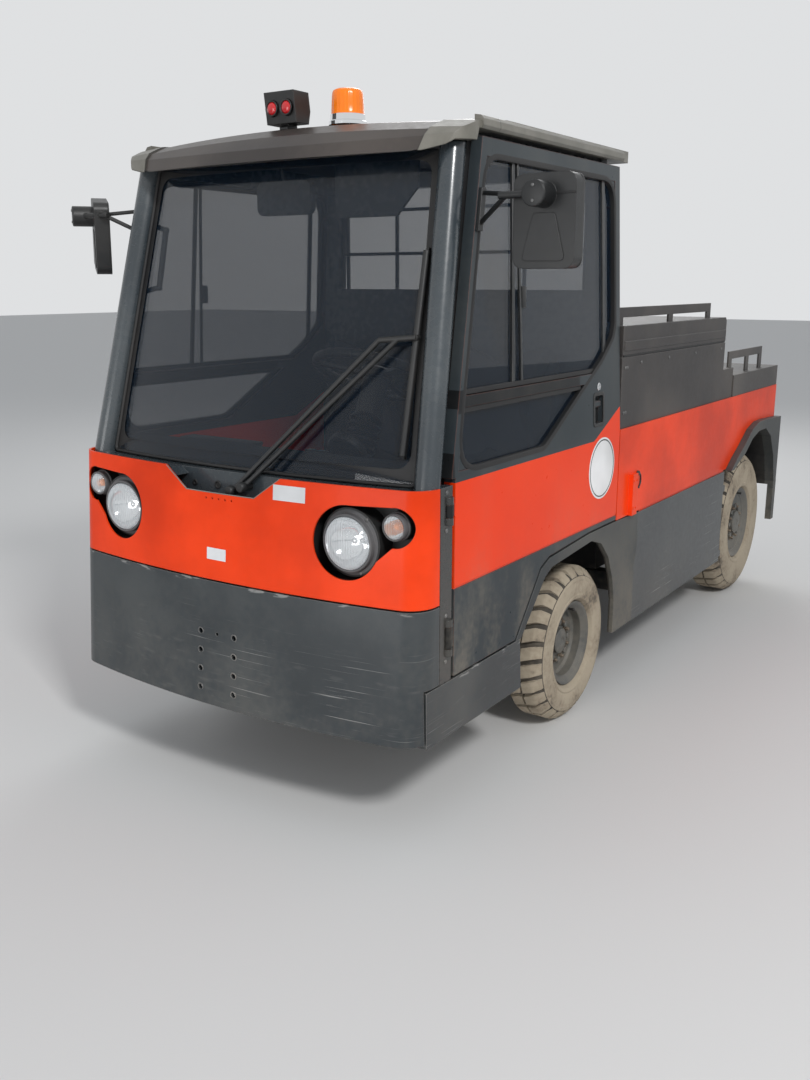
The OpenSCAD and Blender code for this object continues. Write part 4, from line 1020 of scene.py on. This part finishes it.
# Mirrors: glass held in a black moulded shell, with a groove and a raised panel on
# its back and two screws in the clamp's cap. The right one is folded back a little.
mirror_silver = Finish("mirror_silver", (0.78, 0.8, 0.82), Metallic=1.0, Roughness=0.04)
HEAD_W, HEAD_H, HEAD_R, HANG = 170, 228, 26, 62
shell_edge = rounded(rectangle(-85, -HANG - 114, 85, -HANG + 114), HEAD_R)
glass_edge = rounded(rectangle(-77, -HANG - 106, 77, -HANG + 106), 22)
back_panel = rounded([(-60, -HANG - 96), (60, -HANG - 96), (30, -HANG + 20), (-30, -HANG + 20)], 12)
groove = rectangle(-84.8, -HANG + 62, 84.8, -HANG + 68)
clamp_cap = [(0.0318, 0.0), (0.031, 0.0025), (0.027, 0.004), (0.0, 0.004)]
clamp_screw = [(0.0042, 0), (0.0042, 0.0022), (0.003, 0.003), (0, 0.003)]
for side, sign, swing, tilt, pivot_y in (("left", 1, 0, 0, -730), ("right", -1, 38, 10, -740)):
    body = f"door_{side}_body"
    tilted = math.radians(tilt)
    swung = math.radians(swing)
    reach = (HEAD_W / 2 - HEAD_R) * math.cos(tilted) + HEAD_R
    reach += (HEAD_H / 2 - HEAD_R + HANG) * math.sin(tilted)
    pivot_x = 905 - reach * math.cos(swung) - 10 * math.sin(swung)
    head_turn = Matrix.Rotation(swung, 3, "Z") @ Matrix.Rotation(-tilted, 3, "Y")

    def on_head(u, v, depth):
        """Point on the mirror: across, up and back from its pivot, in millimetres."""
        local = head_turn @ Vector((u, depth, v))
        return at(sign * (pivot_x + local.x), pivot_y + local.y, 1690 + local.z)

    pivot = on_head(0, 0, 0)
    axes = [on_head(1, 0, 0) - pivot, on_head(0, 1, 0) - pivot, on_head(0, 0, -1) - pivot]
    forward = Matrix([row * 1000 for row in Matrix(axes).transposed()])
    mesh = bmesh.new()
    plate(mesh, [glass_edge], lambda u, v, d: on_head(u, v, 34.6 + d * 1000), 0.001)
    piece(f"mirror_glass_{side}", mesh, mirror_silver, body)
    mesh = bmesh.new()
    plate(mesh, [shell_edge, glass_edge], lambda u, v, d: on_head(u, v, 34 + d * 1000), 0.004)
    plate(mesh, [back_panel], lambda u, v, d: on_head(u, v, -12.5 + d * 1000), 0.003)
    piece(f"mirror_rim_{side}", mesh, black_plastic, body, 50)
    mesh = bmesh.new()
    plate(mesh, [groove], lambda u, v, d: on_head(u, v, -10.6 + d * 1000), 0.001)
    piece(f"mirror_groove_{side}", mesh, black_rubber, body)
    mesh = bmesh.new()
    turned(mesh, clamp_cap, on_head(0, 0, -71.5), forward, 40)
    piece(f"mirror_clamp_cap_{side}", mesh, black_plastic, body, 50)
    mesh = bmesh.new()
    for v in (-18, 18):
        turned(mesh, clamp_screw, on_head(0, v, -75), forward, 16)
    piece(f"mirror_clamp_screws_{side}", mesh, steel_stud, body, 50)

# Warning light: a ribbed dome of clear orange plastic, clipped on a chromed foot
# that is screwed to the roof.
UP = Matrix.Identity(3)
orange = Finish("orange_dome", (0.92, 0.2, 0.004), Roughness=0.22, Coat_Weight=0.1)
orange.set(Emission_Color=(0.9, 0.2, 0.0), Emission_Strength=0.12)
foot = at(115, -595, 1917.3)
foot_profile = [(0.0548, 0.0005), (0.0548, 0.0095), (0.051, 0.0125), (0.0506, 0.0285), (0.0485, 0.030),
                (0.0, 0.030)]
mesh = bmesh.new()
turned(mesh, foot_profile, foot, UP, 64)
piece("beacon_chrome_foot", mesh, chrome, stands_for=["beacon"], smooth=40)
mesh = bmesh.new()
dome_profile = [(28, 47.5), (34, 47.6), (38, 46.9), (54, 46.2), (70, 45.4), (82, 44.6), (89, 43.4),
                (94, 40.5), (97.4, 34), (98, 0)]
steps = 96
rings = []
for h, r in dome_profile:
    groove_depth = 0.9 if 34 < h < 90 else 0
    ring = []
    for i in range(steps):
        a = 2 * math.pi * i / steps
        reach = (r - (groove_depth if i % 4 < 2 else 0)) / 1000
        ring.append(mesh.verts.new(foot + Vector((reach * math.cos(a), reach * math.sin(a), h / 1000))))
    rings.append(ring)
for one, two in zip(rings, rings[1:]):
    for i in range(steps):
        j = (i + 1) % steps
        mesh.faces.new([one[i], one[j], two[j], two[i]])
bmesh.ops.remove_doubles(mesh, verts=mesh.verts, dist=1e-5)
piece("beacon_dome", mesh, orange, stands_for=["beacon"], smooth=30)

# Pair of spot lamps on the roof: red domed glasses, each in a black ring pressed
# into the front of their hood.
red_glass = Finish("red_glass", (0.55, 0.006, 0.01), Roughness=0.12, Coat_Weight=0.7)
lens_profile = [(0.0175, 0.0), (0.0168, 0.003), (0.0105, 0.0062), (0, 0.0075)]
bezel_profile = [(0.0215, -0.001), (0.0215, 0.0022), (0.0188, 0.0022), (0.0176, 0.0)]
for side, x in (("right", -51), ("left", 1)):
    mesh = bmesh.new()
    turned(mesh, lens_profile, at(x, -731, 1960), AHEAD, 32)
    piece(f"spot_lens_{side}", mesh, red_glass, smooth=60)
    mesh = bmesh.new()
    turned(mesh, bezel_profile, at(x, -734, 1960), AHEAD, 32)
    piece(f"spot_ring_{side}", mesh, black_plastic, smooth=60)

# Tail lamps: one red moulded lens on each side, divided by three dark lines, on a
# black base screwed to the tail.
mesh = bmesh.new()
for x in (550, -550):
    box(mesh, at(x - 47, 2252.6, 863), at(x + 47, 2280.8, 957), bevel=0.006)
piece("tail_lamp_lenses", mesh, red_glass, stands_for=["rear_lamps"])
mesh = bmesh.new()
for x in (550, -550):
    for z in (880, 911, 942):
        block(mesh, at(x, 2281, z), (0.047, 0.0006, 0.0012))
    block(mesh, at(x, 2256, 910), (0.050, 0.0046, 0.050), bevel=0.003)
piece("tail_lamp_bases", mesh, black_plastic, stands_for=["rear_lamps"])

# Coupling: a loose steel pin with a ring handle, dropped through both jaws, and the
# four bolts that hold the jaws' plate to the tail.
BACK = Matrix.Rotation(math.radians(-90), 3, "X")
pin_profile = [(0, -0.155), (0.009, -0.155), (0.0122, -0.148), (0.0122, 0.082), (0.020, 0.082),
               (0.021, 0.086), (0.020, 0.091), (0.006, 0.093), (0, 0.093)]
mesh = bmesh.new()
turned(mesh, pin_profile, at(0, 2351, 400), UP, 32)
ring_handle = [at(20 * math.cos(a), 2351, 512 + 20 * math.sin(a)) for a in turns]
sweep(mesh, ring_handle, round_section(0.0035, 8), closed=True)
piece("coupling_pin", mesh, steel_stud, smooth=40)
mesh = bmesh.new()
spots = [at(x, 2271.2, z) for x in (-88, 88) for z in (312, 488)]
bolt_heads(mesh, spots, 0.011, 0.008, BACK, 6)
piece("coupling_bolts", mesh, steel_stud)

# Dashboard fittings: a dial in a moulded bezel, six rocker switches and the lip of
# a tray, all pressed into the dashboard's top.
bezel = [(0.062, -0.014), (0.062, 0.004), (0.058, 0.010), (0.053, 0.010), (0.052, 0.004), (0, 0.004)]
dial_turn = Matrix.Rotation(math.radians(90 - 32), 3, "X").transposed() @ Matrix.Rotation(math.pi, 3, "X")
mesh = bmesh.new()
turned(mesh, bezel, at(205, -742, 1000), dial_turn, 48)
piece("dial_bezel", mesh, black_plastic)
mesh = bmesh.new()
for x in (40, 82, 124, -180, -222, -264):
    box(mesh, at(x - 15, -716, 972), at(x + 15, -690, 988), bevel=0.003)
piece("rocker_switches", mesh, black_plastic)
mesh = bmesh.new()
box(mesh, at(-420, -800, 990), at(-120, -735, 1003), bevel=0.005)
piece("dash_tray_lip", mesh, cab_trim)

# Steering wheel: a horn button in its hub, a turning knob on its rim, and ridges
# moulded round the soft black rim for grip.
column = Matrix.Rotation(math.radians(-25), 3, "X")
wheel_mid = at(200, -583, 1196)
button = [(0.050, 0.020), (0.050, 0.027), (0.040, 0.033), (0.018, 0.034), (0.015, 0.031), (0, 0.031)]
knob = [(0, 0), (0.008, 0.0), (0.008, 0.016), (0.020, 0.024), (0.023, 0.034), (0.019, 0.044), (0, 0.048)]
mesh = bmesh.new()
turned(mesh, button, wheel_mid, column, 48)
piece("horn_button", mesh, black_plastic, "steering_wheel_body", 40)
mesh = bmesh.new()
turned(mesh, knob, wheel_mid + column @ Vector((-0.130, 0.130, 0.024)), column, 32)
piece("steering_knob", mesh, black_plastic, "steering_wheel_body", 50)
mesh = bmesh.new()
ridges = 36
for k in range(ridges):
    a = 2 * math.pi * k / ridges
    out = Vector((math.cos(a), math.sin(a), 0))
    rim_mid = out * 0.186 + Vector((0, 0, 0.012))
    around = [rim_mid + out * u + Vector((0, 0, v)) for u, v in round_section(0.0146, 12)]
    ring = [wheel_mid + column @ spot for spot in around]
    sweep(mesh, ring, round_section(0.0012, 6, 0.0018), closed=True)
piece("steering_rim_grip", mesh, black_plastic, "steering_wheel_body", 60)

# Column cover: ribbed rubber bellows from the floor to the column tube, held by
# its own stretch.
mesh = bmesh.new()
folds = [(0.052 if k % 2 else 0.043, -0.30 + k * 0.0115) for k in range(17)]
turned(mesh, folds + [(0.0385, -0.112)], wheel_mid, column, 40)
piece("column_bellows", mesh, black_rubber, smooth=60)

# Pedal rubbers: two black rubber pads with raised ribs, stretched over the steel
# pedals.
mesh = bmesh.new()
for x in (150, 300):
    for z in range(538, 614, 15):
        box(mesh, at(x + 4, -822.5, z), at(x + 66, -819, z + 7), bevel=0.001)
piece("pedal_ribs", mesh, black_rubber)

# Inside mirror: silvered glass in its black shell, facing the driver.
mesh = bmesh.new()
inside_glass = rounded(rectangle(-171, 1679, 21, 1765), 20)
plate(mesh, [inside_glass], lambda u, v, d: at(u, -639.8 - d * 1000, v), 0.001)
piece("inside_mirror_glass", mesh, mirror_silver)

# Wiper: a rubber squeegee under the sprung blade, moulded caps on the two spindles,
# and rubber plugs in the spare holes beside them.
mesh = bmesh.new()
path = [on_glass(528 - 9 * k / 24, 1032 + 536 * k / 24, 9) for k in range(25)]
squeegee = [(-0.0025, -0.009), (0.0025, -0.009), (0.004, 0.004), (-0.004, 0.004)]
sweep(mesh, path, squeegee, up=Vector((0, -0.97, 0.24)).normalized())
piece("wiper_squeegee", mesh, black_rubber, smooth=60)
mesh = bmesh.new()
for x, z in ((20, 912), (62, 926)):
    turned(mesh, [(0.0155, 0), (0.0155, 0.010), (0.012, 0.0155), (0, 0.0165)], at(x, -1036, z), AHEAD, 32)
piece("wiper_spindle_caps", mesh, black_plastic, smooth=40)
mesh = bmesh.new()
for x, z, hole in ((-150, 914, 0.005), (-60, 916, 0.008)):
    plug = [(hole + 0.004, 0), (hole + 0.004, 0.002), (hole, 0.003), (hole, 0.0008), (0, 0.0008)]
    turned(mesh, plug, at(x, -1005.4, z), AHEAD, 24)
piece("spare_spindle_plugs", mesh, black_rubber, smooth=40)
